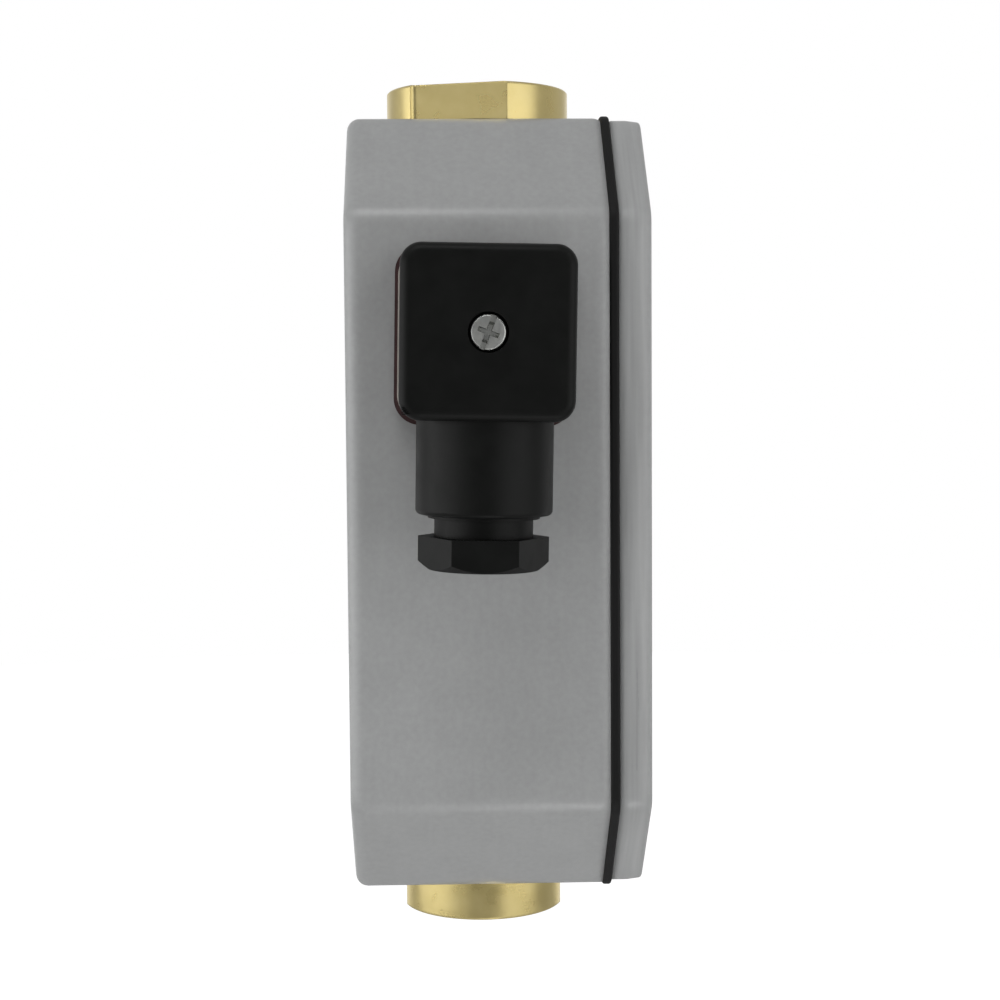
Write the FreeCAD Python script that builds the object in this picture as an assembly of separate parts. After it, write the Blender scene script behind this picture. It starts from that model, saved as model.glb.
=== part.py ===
"""Inline flow alarm: brass pipe body in a painted die-cast box, with a plug on its side.

Millimetres. Z runs up the pipe axis from the inlet face, the lid faces -Y and the plug -X.
Inside the pipe a sprung piston lifts along a tapered cone. Its magnet pulls a follower outside
the pipe, which carries a pointer past a scale and a cam past an adjustable switch.
"""
import FreeCAD, Part
import math
import os

V = FreeCAD.Vector

# Pipe body
inlet_end_height = 7.5
outlet_head_radius = 17.3
outlet_head_height = 7.0
outlet_flat_width = 28.6
outlet_flat_turn = -17.0
flat_shoulder = 8.7
flat_shoulder_radius = 1.0
inlet_end_radius = 15.8
inlet_flat_width = 29.9
inlet_flat_turn = 90.0
end_chamfer = 0.3
waist_radius = 12.0
port_radius = 9.3
port_depth = 15.0
measuring_radius = 8.6
inlet_bore_radius = 7.4

# Casing, as wide as the switch and its tags need
terminal_room = 1.6
case_height = 142.5
case_chamfer = 18.7
crease_radius = 4.5
back_edge_radius = 2.3
axis_to_back = 24.2
axis_to_rim = 22.0
rim_end_round = 1.8
rim_end_drop = 0.9
case_wall = 3.5
end_wall = 5.0
body_clearance = 0.15

# Lid and its gasket
gasket_thickness = 1.7
gasket_width = 4.0
gasket_proud = 0.4
gasket_lip_radius = 0.5
lid_thickness = 5.8
lid_inset = 0.45
lid_band = 3.1
lid_taper = 0.35
lid_edge_radius = 0.7
lid_front_wall = 3.0
lid_end_round = 0.8
lid_end_drop = 0.4
lid_screw_edge = 7.5
lid_screw_z = 51.0
lid_boss_radius = 4.5
lid_screw_radius = 1.97
lid_thread_depth = 12.0
thread_end_room = 1.0
lid_head_radius = 3.4
lid_head_height = 2.6

# Window
window_width = 34.0
window_height = 70.0
window_corner = 3.0
pane_border = 2.0
pane_thickness = 1.5
pane_gasket_thickness = 0.4
pane_clearance = 0.3
retainer_thickness = 1.0
retainer_border = 6.0
retainer_screw_radius = 1.0
retainer_screw_depth = 1.8
retainer_head_radius = 1.9
retainer_head_height = 0.8

# Holding of the pipe body in the casing
seal_section = 1.7
seal_room = 0.1
outlet_seal_thickness = 0.8
washer_thickness = 1.0
washer_outer = 18.3
circlip_thickness = 1.5
circlip_depth = 0.9
circlip_outer = 17.6
circlip_mouth = 4.0
collar_beyond_wall = 8.0

# Cone and spiders
seat_radius = 9.1
seat_depth = 5.0
spider_thickness = 3.8
spider_rim = 1.4
spider_hub = 2.8
spider_arm = 1.6
snap_groove_depth = 0.6
snap_thickness = 1.0
snap_width = 1.8
snap_mouth = 4.0
stem_radius = 1.5
cone_low_radius = 4.6
cone_high_radius = 2.2
cone_below_stop = 5.5
cone_beyond_stroke = 8.5

# Piston, its stroke and its spring
stroke = 40.0
piston_length = 24.0
piston_clearance = 0.06
piston_bore = 6.2
piston_groove_height = 4.0
piston_groove_width = 1.0
piston_groove_depth = 0.5
orifice_radius = 4.8
orifice_thickness = 1.5
orifice_disc_radius = 7.3
magnet_recess_radius = 7.7
magnet_height = 8.0
spring_seat_thickness = 1.2
spring_seat_bore = 5.2
recess_lip = 1.8
spring_wire = 0.9
spring_radius = 6.6
spring_turns = 9
rest_gap = 0.3
seat_gap = 0.05

# Chassis of the dry side
plate_thickness = 1.5
plate_gap = 0.5
plate_side_room = 3.0
plate_half_height = 46.0
plate_corner = 1.5
plate_slot_half_width = 14.5
plate_slot_half_height = 40.0
chassis_boss_edge = 4.0
chassis_boss_z = 43.0
chassis_boss_radius = 3.5
chassis_screw_radius = 1.5
chassis_head_radius = 2.7
chassis_head_height = 2.0
thread_depth = 6.0
block_half_width = 20.0
block_height = 6.0
block_depth = 6.5
block_screw_x = 17.5
block_screw_radius = 1.25
block_head_radius = 2.2
block_head_height = 1.6
rod_radius = 1.25
rod_x = 9.5
rod_clearance = 0.07
rod_seat_depth = 5.0
rod_from_plate = 3.0

# Follower outside the pipe
follower_half_width = 11.5
follower_height = 14.0
follower_depth = 5.7
follower_gap = 0.3
follower_chamfer = 0.5
follower_magnet_width = 8.0
follower_magnet_height = 10.0
follower_magnet_depth = 3.5
magnet_air_gap = 0.9
cam_rise = 0.9
cam_height = 5.0
cam_width = 2.8
pointer_thickness = 0.6
pointer_reach = 13.0
pointer_root = 1.6
pointer_tip = 0.12
pointer_stem = 1.2

# Switch and its carriage
carriage_travel = 10.0
setpoint_above_middle = 2.25
switch_below_pointer = 15.0
switch_x = 18.8
switch_length = 20.0
switch_depth = 10.2
switch_width = 6.3
carriage_thickness = 1.5
carriage_gap = 0.1
carriage_inner_x = 15.5
carriage_outer_x = 29.5
carriage_below = 11.0
carriage_above = 19.0
key_x = 24.0
key_width = 3.0
key_length = 10.0
key_depth = 1.3
key_from_switch = 13.5
lock_radius = 1.0
lock_head_radius = 2.3
lock_head_height = 1.8
nut_across_flats = 4.5
nut_height = 2.0
lever_gap = 1.5
lever_thickness = 0.4
lever_width = 3.6
lever_pivot = 9.0
lever_knuckle = 0.95
lever_ear_thickness = 0.5
lever_ear_half = 1.0
lever_pin_radius = 0.5
ear_thickness = 0.6
roller_radius = 2.2
roller_width = 2.4
roller_pin_radius = 0.6
roller_height = 9.0
cam_clearance = 0.4
running = 0.05
plunger_radius = 0.9
plunger_height = 2.0
plunger_inside = 3.2
plunger_travel_room = 0.6
plunger_gap = 0.15
plunger_dome = 0.3
terminal_reach = 3.4
terminal_width = 3.0
terminal_thickness = 0.5
terminal_pitch = 8.0
terminal_hole_radius = 0.6
terminal_hole_edge = 1.2
switch_screw_radius = 1.0
switch_screw_pitch = 9.5
switch_screw_edge = 2.2
switch_head_radius = 1.7
switch_head_height = 0.8
switch_head_recess = 1.0

# Scale plate
scale_half_width = 27.0
scale_half_height = 39.5
scale_thickness = 0.8
scale_corner = 2.0
scale_from_switch = 0.7
standoff_edge = 3.0
standoff_z = 36.5
standoff_radius = 2.2
scale_screw_radius = 1.0
scale_head_radius = 1.9
scale_head_height = 0.9
slot_room = 0.6

# Connector on the side
connector_height = 31.0
connector_twist = 1.2
base_gasket_thickness = 1.0
base_thickness = 3.0
base_half_width = 15.4
base_corner = 4.6
base_hub_radius = 9.8
base_hub_inside = 1.5
base_screw_place = 11.4
base_screw_radius = 1.45
base_head_radius = 2.6
plug_gasket_thickness = 1.2
plug_gasket_inset = 0.6
plug_gasket_border = 4.0
blade_place = 9.0
blade_width = 4.8
blade_thickness = 0.8
blade_inside = 1.8

# Plug and cable gland
plug_width = 28.0
plug_depth = 27.7
plug_corner = 3.4
plug_face_radius = 1.6
plug_wall = 2.2
insert_depth = 13.0
insert_clearance = 0.3
insert_corner = 2.4
blade_clearance = 0.3
clip_wall = 0.6
clip_length = 8.0
terminal_screw_radius = 1.2
terminal_screw_length = 3.0
gland_from_face = 13.4
gland_radius = 11.3
gland_below = 29.5
gland_edge_radius = 0.8
neck_radius = 8.15
neck_length = 7.6
neck_collar_radius = 9.25
neck_collar_height = 0.55
neck_bore = 6.7
entry_radius = 5.2
nut_gap = 3.6
gland_nut_across_flats = 18.7
gland_nut_height = 5.4
gland_nut_floor = 1.1
gland_nut_hole = 4.6
gland_nut_turn = 30.5
gland_nut_clearance = 0.1
gland_nut_bevel = 1.6
gland_nut_corner_room = 0.4
seal_bore = 3.6
gland_seal_length = 6.0
gland_washer_thickness = 0.8
gland_washer_bore = 4.3
screw_head_radius = 2.85
screw_head_height = 2.4
screw_head_depth = 0.25
screw_counterbore = 3.25
screw_shaft_radius = 1.5
screw_shaft_clearance = 0.15
screw_in_base = 5.0
slot_width = 0.9
slot_depth = 0.7
slot_turn = 110.0

# Inner leads from the switch's tags to the connector's blades
lead_radius = 0.6
lead_gap = 0.15
lead_bend = 3.0
lead_end_bend = 1.2
lead_first_lane = 1.4
lead_blade_x = 0.75
lead_end_gap = 0.25
lead_low_row = 43.1

# Slot of a small screw, as shares of its head
slot_share = 1 / 3
slot_depth_share = 0.4

# How far a cutting tool runs past a face
past = 1.0

# Heights and planes that follow from the sizes above
case_low = inlet_end_height
case_high = case_low + case_height
overall_length = case_high + outlet_head_height
middle = (case_low + case_high) / 2
case_width = 2 * (switch_x + switch_depth + terminal_reach + terminal_room + case_wall)
half_width = case_width / 2
half_height = case_height / 2
lid_screw_x = half_width - lid_screw_edge
back_y = axis_to_back
rim_y = -axis_to_rim
lid_back_y = rim_y - gasket_thickness
lid_front_y = lid_back_y - lid_thickness
lid_inner_y = lid_front_y + lid_front_wall
inlet_collar_top = case_low + end_wall + collar_beyond_wall
outlet_collar_low = case_high - end_wall - collar_beyond_wall
inlet_seat_top = port_depth + seat_depth
outlet_seat_low = overall_length - port_depth - seat_depth

piston_middle_height = piston_length - recess_lip - spring_seat_thickness - magnet_height / 2
pointer_rest = middle - stroke / 2
piston_low = pointer_rest - piston_middle_height
piston_stop = piston_low - rest_gap

plate_half_width = half_width - case_wall - plate_side_room
chassis_boss_x = plate_half_width - chassis_boss_edge
plate_back_y = -waist_radius - plate_gap
plate_front_y = plate_back_y - plate_thickness
rod_y = plate_front_y - rod_from_plate
block_middle = plate_half_height - block_height
follower_back_y = plate_front_y - follower_gap
follower_front_y = follower_back_y - follower_depth
follower_low = pointer_rest - follower_height / 2

setpoint_rest = middle + setpoint_above_middle
switch_middle = setpoint_rest - switch_below_pointer
carriage_back_y = plate_front_y - carriage_gap
switch_back_y = carriage_back_y - carriage_thickness
switch_front_y = switch_back_y - switch_width
lever_y = (switch_back_y + switch_front_y) / 2
lever_back_x = switch_x - lever_gap
lever_front_x = lever_back_x - lever_thickness
roller_x = follower_half_width + cam_rise + cam_clearance + roller_radius
roller_z = switch_middle + roller_height
pivot_x = lever_back_x + lever_knuckle - lever_thickness
pivot_z = switch_middle - lever_pivot
plunger_z = switch_middle - plunger_height

standoff_x = scale_half_width - standoff_edge
scale_back_y = switch_front_y - scale_from_switch
scale_front_y = scale_back_y - scale_thickness
pointer_back_y = scale_front_y - rest_gap
pointer_front_y = pointer_back_y - pointer_thickness

connector_z = middle + connector_height
side_x = -half_width
base_back_x = side_x - base_gasket_thickness
base_front_x = base_back_x - base_thickness
plug_back_x = base_front_x - plug_gasket_thickness
plug_face_x = plug_back_x - plug_depth
gland_x = plug_face_x + gland_from_face
cylinder_low = connector_z - gland_below
blade_tip_x = plug_back_x - clip_length + clip_wall + blade_clearance
nut_high = cylinder_low - nut_gap
nut_low = nut_high - gland_nut_height
neck_low = cylinder_low - neck_length


def box(x0, x1, y0, y1, z0, z1):
    """Solid box between two values on each axis, in either order."""
    low = V(min(x0, x1), min(y0, y1), min(z0, z1))
    return Part.makeBox(abs(x1 - x0), abs(y1 - y0), abs(z1 - z0), low)


def rod(radius, start, end):
    """Solid cylinder from one point to another."""
    way = end - start
    return Part.makeCylinder(radius, way.Length, start, way)


def rod_z(radius, x, y, z0, z1):
    return rod(radius, V(x, y, min(z0, z1)), V(x, y, max(z0, z1)))


def rod_y_axis(radius, x, z, y0, y1):
    return rod(radius, V(x, min(y0, y1), z), V(x, max(y0, y1), z))


def rod_x_axis(radius, y, z, x0, x1):
    return rod(radius, V(min(x0, x1), y, z), V(max(x0, x1), y, z))


def tube_z(outer, inner, x, y, z0, z1):
    margin = abs(z1 - z0)
    return rod_z(outer, x, y, z0, z1).cut(rod_z(inner, x, y, min(z0, z1) - margin, max(z0, z1) + margin))


def fused(first, others):
    """First solid with the others joined to it."""
    return first.fuse(list(others)).removeSplitter()


def group(solids):
    return Part.makeCompound(list(solids))


def rounded_wire(corners, radius):
    """Closed wire through the corners, each rounded by an arc of the radius."""
    starts, ends, middles = [], [], []
    count = len(corners)
    for index, corner in enumerate(corners):
        before = (corners[index - 1] - corner).normalize()
        after = (corners[(index + 1) % count] - corner).normalize()
        half_angle = before.getAngle(after) / 2
        reach = radius / math.tan(half_angle)
        inward = (before + after).normalize()
        starts.append(corner + before * reach)
        ends.append(corner + after * reach)
        middles.append(corner + inward * (radius / math.sin(half_angle) - radius))
    edges = []
    for index in range(count):
        edges.append(Part.Arc(starts[index], middles[index], ends[index]).toShape())
        edges.append(Part.LineSegment(ends[index], starts[(index + 1) % count]).toShape())
    return Part.Wire(edges)


def octagon_corners(inset, y):
    """Corners of the casing's outline moved inwards by an inset, at one depth."""
    wide = half_width - inset
    high = half_height - inset
    diagonal = half_width + half_height - case_chamfer - inset * math.sqrt(2)
    flat_x = diagonal - high
    flat_z = diagonal - wide
    quarter = [(wide, flat_z), (flat_x, high), (-flat_x, high), (-wide, flat_z)]
    both = quarter + [(-x, -z) for x, z in quarter]
    return [V(x, y, middle + z) for x, z in both]


def octagon_wire(inset, y):
    radius = max(crease_radius - inset, 1.0)
    return rounded_wire(octagon_corners(inset, y), radius)


def octagon_prism(inset, y0, y1):
    return Part.Face(octagon_wire(inset, y0)).extrude(V(0, y1 - y0, 0))


def panel(half_x, half_z, corner, y0, y1):
    """Upright plate with rounded corners, centred on the casing's middle."""
    corners = [V(sx * half_x, y0, middle + sz * half_z) for sx, sz in ((1, 1), (-1, 1), (-1, -1), (1, -1))]
    return Part.Face(rounded_wire(corners, corner)).extrude(V(0, y1 - y0, 0))


def slot_y(x, half, z0, z1, y0, y1):
    """Upright slot with round ends, cut along Y."""
    straight = box(x - half, x + half, y0, y1, z0 + half, z1 - half)
    return fused(straight, [rod_y_axis(half, x, z0 + half, y0, y1), rod_y_axis(half, x, z1 - half, y0, y1)])


def corner_places(x, z):
    return [(sx * x, middle + sz * z) for sx in (-1, 1) for sz in (-1, 1)]


def pan_screw(x, z, under_head, head_radius, head_height, radius, length):
    """Screw that points to +Y with a slotted head on its -Y end."""
    head = rod_y_axis(head_radius, x, z, under_head - head_height, under_head)
    shank = rod_y_axis(radius, x, z, under_head, under_head + length)
    slot_half = head_radius * slot_share / 2
    top = under_head - head_height
    slot = box(x - head_radius, x + head_radius, top, top + head_height * slot_depth_share,
               z - slot_half, z + slot_half)
    return head.cut(slot).fuse(shank)


def edges_at_y(shape, y):
    """Edges that lie wholly at one depth."""
    return [edge for edge in shape.Edges
            if all(abs(vertex.Point.y - y) < 1e-6 for vertex in edge.Vertexes)]


# Casing, gasket and lid

def housing_base():
    outer = octagon_prism(0, rim_y, back_y)
    outer = outer.makeFillet(back_edge_radius, edges_at_y(outer, back_y))
    cavity = octagon_prism(case_wall, rim_y - past, back_y - case_wall)
    high = half_height - end_wall
    cavity = cavity.common(box(-case_width, case_width, rim_y - past, back_y, middle - high, middle + high))
    shell = outer.cut(cavity)
    floor_y = back_y - case_wall
    bosses = [rod_y_axis(lid_boss_radius, x, z, rim_y, floor_y)
              for x, z in corner_places(lid_screw_x, lid_screw_z)]
    bosses += [rod_y_axis(chassis_boss_radius, x, z, plate_back_y, floor_y)
               for x, z in corner_places(chassis_boss_x, chassis_boss_z)]
    bosses = [boss.common(outer) for boss in bosses]
    shell = fused(shell, bosses)
    hole = inlet_end_radius + body_clearance
    cuts = [rod_z(hole, 0, 0, case_low - past, case_high + past)]
    cuts.append(rod_z(hole + seal_section, 0, 0, case_low + end_wall - seal_section - seal_room, middle))
    cuts.append(rod_z(hole + seal_section, 0, 0, case_high - outlet_seal_thickness, case_high + past))
    for x, z in corner_places(lid_screw_x, lid_screw_z):
        cuts.append(rod_y_axis(lid_screw_radius + running, x, z, rim_y - past, rim_y + lid_thread_depth))
    for x, z in corner_places(chassis_boss_x, chassis_boss_z):
        cuts.append(rod_y_axis(chassis_screw_radius, x, z, plate_back_y - past, plate_back_y + thread_depth))
    cuts += [turned(tool) for tool in connector_holes()]
    cuts.append(end_round_cutter(rim_end_round, rim_end_drop, rim_y, 1, case_high))
    return shell.cut(group(cuts))


def end_round_cutter(depth, drop, y, way, z):
    """Tool that rounds the outlet end of a cast rim, by an arc that runs out level into the end face."""
    radius = (depth * depth + drop * drop) / (2 * drop)
    angle = math.asin(depth / radius) / 2
    on_arc = V(-half_width, y + way * (depth - radius * math.sin(angle)), z - radius * (1 - math.cos(angle)))
    outline = [(y, z - drop), (y + way * depth, z), (y + way * depth, z + past),
               (y - way * past, z + past), (y - way * past, z - drop)]
    points = [V(-half_width, place_y, place_z) for place_y, place_z in outline]
    edges = [Part.Arc(points[0], on_arc, points[1]).toShape()]
    for start, end in zip(points[1:], points[2:] + points[:1]):
        edges.append(Part.LineSegment(start, end).toShape())
    return Part.Face(Part.Wire(edges)).extrude(V(case_width, 0, 0))


def connector_holes():
    inner = side_x + case_wall + past
    holes = [rod_x_axis(base_hub_radius + body_clearance, 0, connector_z, side_x - past, inner)]
    for y, z in connector_corners(base_screw_place):
        holes.append(rod_x_axis(base_screw_radius, y, z, side_x - past, inner))
    return holes


def lid_gasket():
    ring = octagon_prism(-gasket_proud, lid_back_y, rim_y)
    ring = ring.makeFillet(gasket_lip_radius, edges_at_y(ring, lid_back_y) + edges_at_y(ring, rim_y))
    ring = ring.cut(octagon_prism(gasket_width, lid_back_y - past, rim_y + past))
    tabs = [rod_y_axis(lid_boss_radius, x, z, lid_back_y, rim_y)
            for x, z in corner_places(lid_screw_x, lid_screw_z)]
    holes = [rod_y_axis(lid_screw_radius + rest_gap, x, z, lid_back_y - past, rim_y + past)
             for x, z in corner_places(lid_screw_x, lid_screw_z)]
    return fused(ring, tabs).cut(group(holes))


def lid():
    band_y = lid_back_y - lid_band
    band = octagon_prism(lid_inset, lid_back_y, band_y)
    crown = Part.makeLoft([octagon_wire(lid_inset, band_y), octagon_wire(lid_inset + lid_taper, lid_front_y)],
                          True, True)
    crown = crown.makeFillet(lid_edge_radius, edges_at_y(crown, lid_front_y))
    tray = octagon_prism(lid_inset + case_wall, lid_back_y + past, lid_inner_y)
    bosses = [rod_y_axis(lid_boss_radius, x, z, lid_back_y, lid_inner_y)
              for x, z in corner_places(lid_screw_x, lid_screw_z)]
    shell = fused(band.fuse(crown).cut(tray), bosses)
    half_w = window_width / 2
    half_h = window_height / 2
    cuts = [panel(half_w, half_h, window_corner, lid_front_y - past, lid_back_y)]
    rebate_y = lid_inner_y - pane_thickness - pane_gasket_thickness
    border = pane_border + pane_clearance
    cuts.append(panel(half_w + border, half_h + border, window_corner + border, rebate_y, lid_inner_y + past))
    for x, z in corner_places(lid_screw_x, lid_screw_z):
        cuts.append(rod_y_axis(lid_screw_radius + rest_gap, x, z, lid_front_y - past, lid_back_y + past))
        cuts.append(rod_y_axis(lid_head_radius + rest_gap, x, z, lid_front_y - past,
                               lid_front_y + lid_head_height))
    for x, z in retainer_places():
        cuts.append(rod_y_axis(retainer_screw_radius, x, z, lid_inner_y - retainer_screw_depth,
                               lid_inner_y + past))
    cuts.append(end_round_cutter(lid_end_round, lid_end_drop, lid_back_y, -1, case_high - lid_inset))
    return shell.cut(group(cuts))


def lid_screws():
    under = lid_front_y + lid_head_height
    length = rim_y + lid_thread_depth - thread_end_room - under
    return group(pan_screw(x, z, under, lid_head_radius, lid_head_height, lid_screw_radius, length)
                 for x, z in corner_places(lid_screw_x, lid_screw_z))


def retainer_places():
    x = window_width / 2 + retainer_border - retainer_head_radius
    z = window_height / 2 - retainer_border
    return corner_places(x, z)


def window_gasket():
    rebate_y = lid_inner_y - pane_thickness - pane_gasket_thickness
    half_w = window_width / 2
    half_h = window_height / 2
    outer = panel(half_w + pane_border, half_h + pane_border, window_corner + pane_border,
                  rebate_y, rebate_y + pane_gasket_thickness)
    return outer.cut(panel(half_w, half_h, window_corner, rebate_y - past, rebate_y + past))


def window_pane():
    return panel(window_width / 2 + pane_border, window_height / 2 + pane_border, window_corner + pane_border,
                 lid_inner_y - pane_thickness, lid_inner_y)


def window_retainer():
    half_w = window_width / 2
    half_h = window_height / 2
    back = lid_inner_y + retainer_thickness
    frame = panel(half_w + retainer_border, half_h + retainer_border, window_corner + retainer_border,
                  lid_inner_y, back)
    frame = frame.cut(panel(half_w, half_h, window_corner, lid_inner_y - past, back + past))
    holes = [rod_y_axis(retainer_screw_radius + seat_gap, x, z, lid_inner_y - past, back + past)
             for x, z in retainer_places()]
    return frame.cut(group(holes))


def retainer_screws():
    under = lid_inner_y + retainer_thickness
    screws = []
    for x, z in retainer_places():
        head = rod_y_axis(retainer_head_radius, x, z, under, under + retainer_head_height)
        shank = rod_y_axis(retainer_screw_radius, x, z, lid_inner_y - retainer_screw_depth, under)
        screws.append(head.fuse(shank))
    return group(screws)


# Pipe body and what holds it

def flat_cutters(width, turn, z0, z1, shoulder=None):
    """Two blocks that leave spanner flats of a width, the first facing the turned -X way.

    With a shoulder, the mill stops that far from the middle at one end of each flat, on its own radius.
    """
    reach = 2 * outlet_head_radius
    cutters = []
    for side in (-1, 1):
        end = reach if shoulder is None else shoulder
        block = box(side * width / 2, side * reach, side * reach, -side * end, z0, z1)
        if shoulder is not None:
            inner = [edge for edge in block.Edges
                     if all(abs(vertex.Point.x - side * width / 2) < 1e-6 and
                            abs(vertex.Point.y + side * end) < 1e-6 for vertex in edge.Vertexes)]
            block = block.makeFillet(flat_shoulder_radius, inner)
        block.rotate(V(0, 0, 0), V(0, 0, 1), turn)
        cutters.append(block)
    return cutters


def flow_body():
    head_low = case_high
    profile = [(port_radius, 0), (inlet_end_radius - end_chamfer, 0),
               (inlet_end_radius, end_chamfer), (inlet_end_radius, inlet_collar_top),
               (waist_radius, inlet_collar_top), (waist_radius, outlet_collar_low),
               (inlet_end_radius, outlet_collar_low), (inlet_end_radius, head_low),
               (outlet_head_radius, head_low), (outlet_head_radius, overall_length - end_chamfer),
               (outlet_head_radius - end_chamfer, overall_length), (port_radius, overall_length),
               (port_radius, overall_length - port_depth),
               (seat_radius, overall_length - port_depth), (seat_radius, outlet_seat_low),
               (measuring_radius, outlet_seat_low), (measuring_radius, piston_stop),
               (inlet_bore_radius, piston_stop), (inlet_bore_radius, inlet_seat_top),
               (seat_radius, inlet_seat_top), (seat_radius, port_depth),
               (port_radius, port_depth)]
    points = [V(r, 0, z) for r, z in profile]
    section = Part.Face(Part.makePolygon(points + [points[0]]))
    body = section.revolve(V(0, 0, 0), V(0, 0, 1), 360)
    cuts = flat_cutters(outlet_flat_width, outlet_flat_turn, head_low, overall_length + past, flat_shoulder)
    cuts += flat_cutters(inlet_flat_width, inlet_flat_turn, -past, case_low)
    groove_low = circlip_low()
    cuts.append(tube_z(waist_radius * 2, inlet_end_radius - circlip_depth, 0, 0, groove_low - seat_gap,
                       groove_low + circlip_thickness + seat_gap))
    for low in snap_ring_lows():
        cuts.append(rod_z(seat_radius + snap_groove_depth + seat_gap, 0, 0, low - seat_gap,
                          low + snap_thickness + seat_gap))
    return body.cut(group(cuts))


def circlip_low():
    return case_low + end_wall + washer_thickness + seat_gap


def body_washer():
    low = case_low + end_wall
    return tube_z(washer_outer, inlet_end_radius + body_clearance, 0, 0, low, low + washer_thickness)


def body_circlip():
    low = circlip_low()
    high = low + circlip_thickness
    ring = tube_z(circlip_outer, inlet_end_radius - circlip_depth + seat_gap, 0, 0, low, high)
    return ring.cut(box(0, circlip_outer * 2, -circlip_mouth, circlip_mouth, low - past, high + past))


def inlet_seal():
    centre = inlet_end_radius + body_clearance + seal_section / 2
    z = case_low + end_wall - seal_section / 2 - seat_gap
    return Part.makeTorus(centre, seal_section / 2, V(0, 0, z))


def outlet_seal():
    return tube_z(inlet_end_radius + body_clearance + seal_section, inlet_end_radius + seat_gap, 0, 0,
                  case_high - outlet_seal_thickness, case_high)


def snap_ring_lows():
    inlet = inlet_seat_top - spider_thickness - snap_thickness - seat_gap
    outlet = outlet_seat_low + spider_thickness + seat_gap
    return [inlet, outlet]


def snap_rings():
    rings = []
    for low in snap_ring_lows():
        outer = seat_radius + snap_groove_depth
        ring = tube_z(outer, outer - snap_width, 0, 0, low, low + snap_thickness)
        mouth = box(0, -outer * 2, -snap_mouth, snap_mouth, low - past, low + snap_thickness + past)
        rings.append(ring.cut(mouth))
    return group(rings)


def spider(low):
    outer = seat_radius - seat_gap
    high = low + spider_thickness
    rim = tube_z(outer, outer - spider_rim, 0, 0, low, high)
    hub = rod_z(spider_hub, 0, 0, low, high)
    arms = []
    for index in range(3):
        arm = box(0, outer - spider_rim / 2, -spider_arm / 2, spider_arm / 2, low, high)
        arm.rotate(V(0, 0, 0), V(0, 0, 1), index * 120 + 90)
        arms.append(arm)
    return fused(rim, [hub] + arms).cut(rod_z(stem_radius + seat_gap, 0, 0, low - past, high + past))


def inlet_spider():
    return spider(inlet_seat_top - spider_thickness)


def outlet_spider():
    return spider(outlet_seat_low)


def metering_cone():
    cone_low = piston_stop - cone_below_stop
    cone_high = piston_stop + stroke + cone_beyond_stroke
    low = inlet_seat_top - spider_thickness
    high = outlet_seat_low + spider_thickness
    profile = [(0, low), (stem_radius, low), (stem_radius, cone_low - cone_low_radius),
               (cone_low_radius, cone_low), (cone_high_radius, cone_high),
               (stem_radius, cone_high + stem_radius), (stem_radius, high), (0, high)]
    points = [V(r, 0, z) for r, z in profile]
    return Part.Face(Part.makePolygon(points + [points[0]])).revolve(V(0, 0, 0), V(0, 0, 1), 360)


# Piston and spring

def recess_low():
    return piston_low + piston_length - recess_lip - spring_seat_thickness - magnet_height


def piston():
    high = piston_low + piston_length
    outer = measuring_radius - piston_clearance
    body = tube_z(outer, piston_bore, 0, 0, piston_low, high)
    top = rod_z(magnet_recess_radius, 0, 0, recess_low(), high + past)
    bottom = rod_z(orifice_disc_radius + seat_gap, 0, 0, piston_low - past, piston_low + orifice_thickness)
    body = body.cut(group([top, bottom]))
    groove_low = piston_low + piston_groove_height
    groove_high = groove_low + piston_groove_width
    groove = tube_z(outer * 2, outer - piston_groove_depth, 0, 0, groove_low, groove_high)
    return body.cut(groove)


def orifice_disc():
    disc = rod_z(orifice_disc_radius, 0, 0, piston_low, piston_low + orifice_thickness)
    bevel = Part.makeCone(orifice_radius, orifice_radius + orifice_thickness, orifice_thickness,
                          V(0, 0, piston_low), V(0, 0, 1))
    return disc.cut(bevel)


def piston_magnet():
    low = recess_low()
    return tube_z(magnet_recess_radius - seat_gap, piston_bore, 0, 0, low, low + magnet_height)


def spring_seat():
    low = recess_low() + magnet_height
    return tube_z(magnet_recess_radius - seat_gap, spring_seat_bore, 0, 0, low, low + spring_seat_thickness)


def arc_by_tangents(start, corner, end):
    """Arc from start to end, with tangents that meet at the corner, equally far from both."""
    chord_middle = (start + end) * 0.5
    to_middle = chord_middle - corner
    height = to_middle.Length
    reach = (start - corner).Length
    radius = reach * (start - chord_middle).Length / height
    bulge = corner + to_middle.normalize() * (reach * reach / height - radius)
    return Part.Arc(start, bulge, end).toShape()


def helix_edges(radius, low, high, turns):
    """Helix up the Z axis as two tangent arcs for each quarter turn."""
    quarters = turns * 4
    rise = (high - low) / (math.pi / 2 * quarters)
    places = []
    for index in range(quarters + 1):
        angle = math.pi / 2 * index
        point = V(radius * math.cos(angle), radius * math.sin(angle), low + rise * angle)
        tangent = V(-radius * math.sin(angle), radius * math.cos(angle), rise).normalize()
        places.append((point, tangent))
    edges = []
    for (start, leave), (end, arrive) in zip(places, places[1:]):
        way = end - start
        both = leave + arrive
        square = both.dot(both) - 4
        across = way.dot(both)
        reach = (across - math.sqrt(across * across - square * way.dot(way))) / square
        first = start + leave * reach
        second = end - arrive * reach
        joint = (first + second) * 0.5
        edges.append(arc_by_tangents(start, first, joint))
        edges.append(arc_by_tangents(joint, second, end))
    return edges


def spring_ends():
    low = recess_low() + magnet_height + spring_seat_thickness + spring_wire / 2 + rest_gap / 2
    high = outlet_seat_low - spring_wire / 2 - rest_gap / 2
    return low, high


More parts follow.
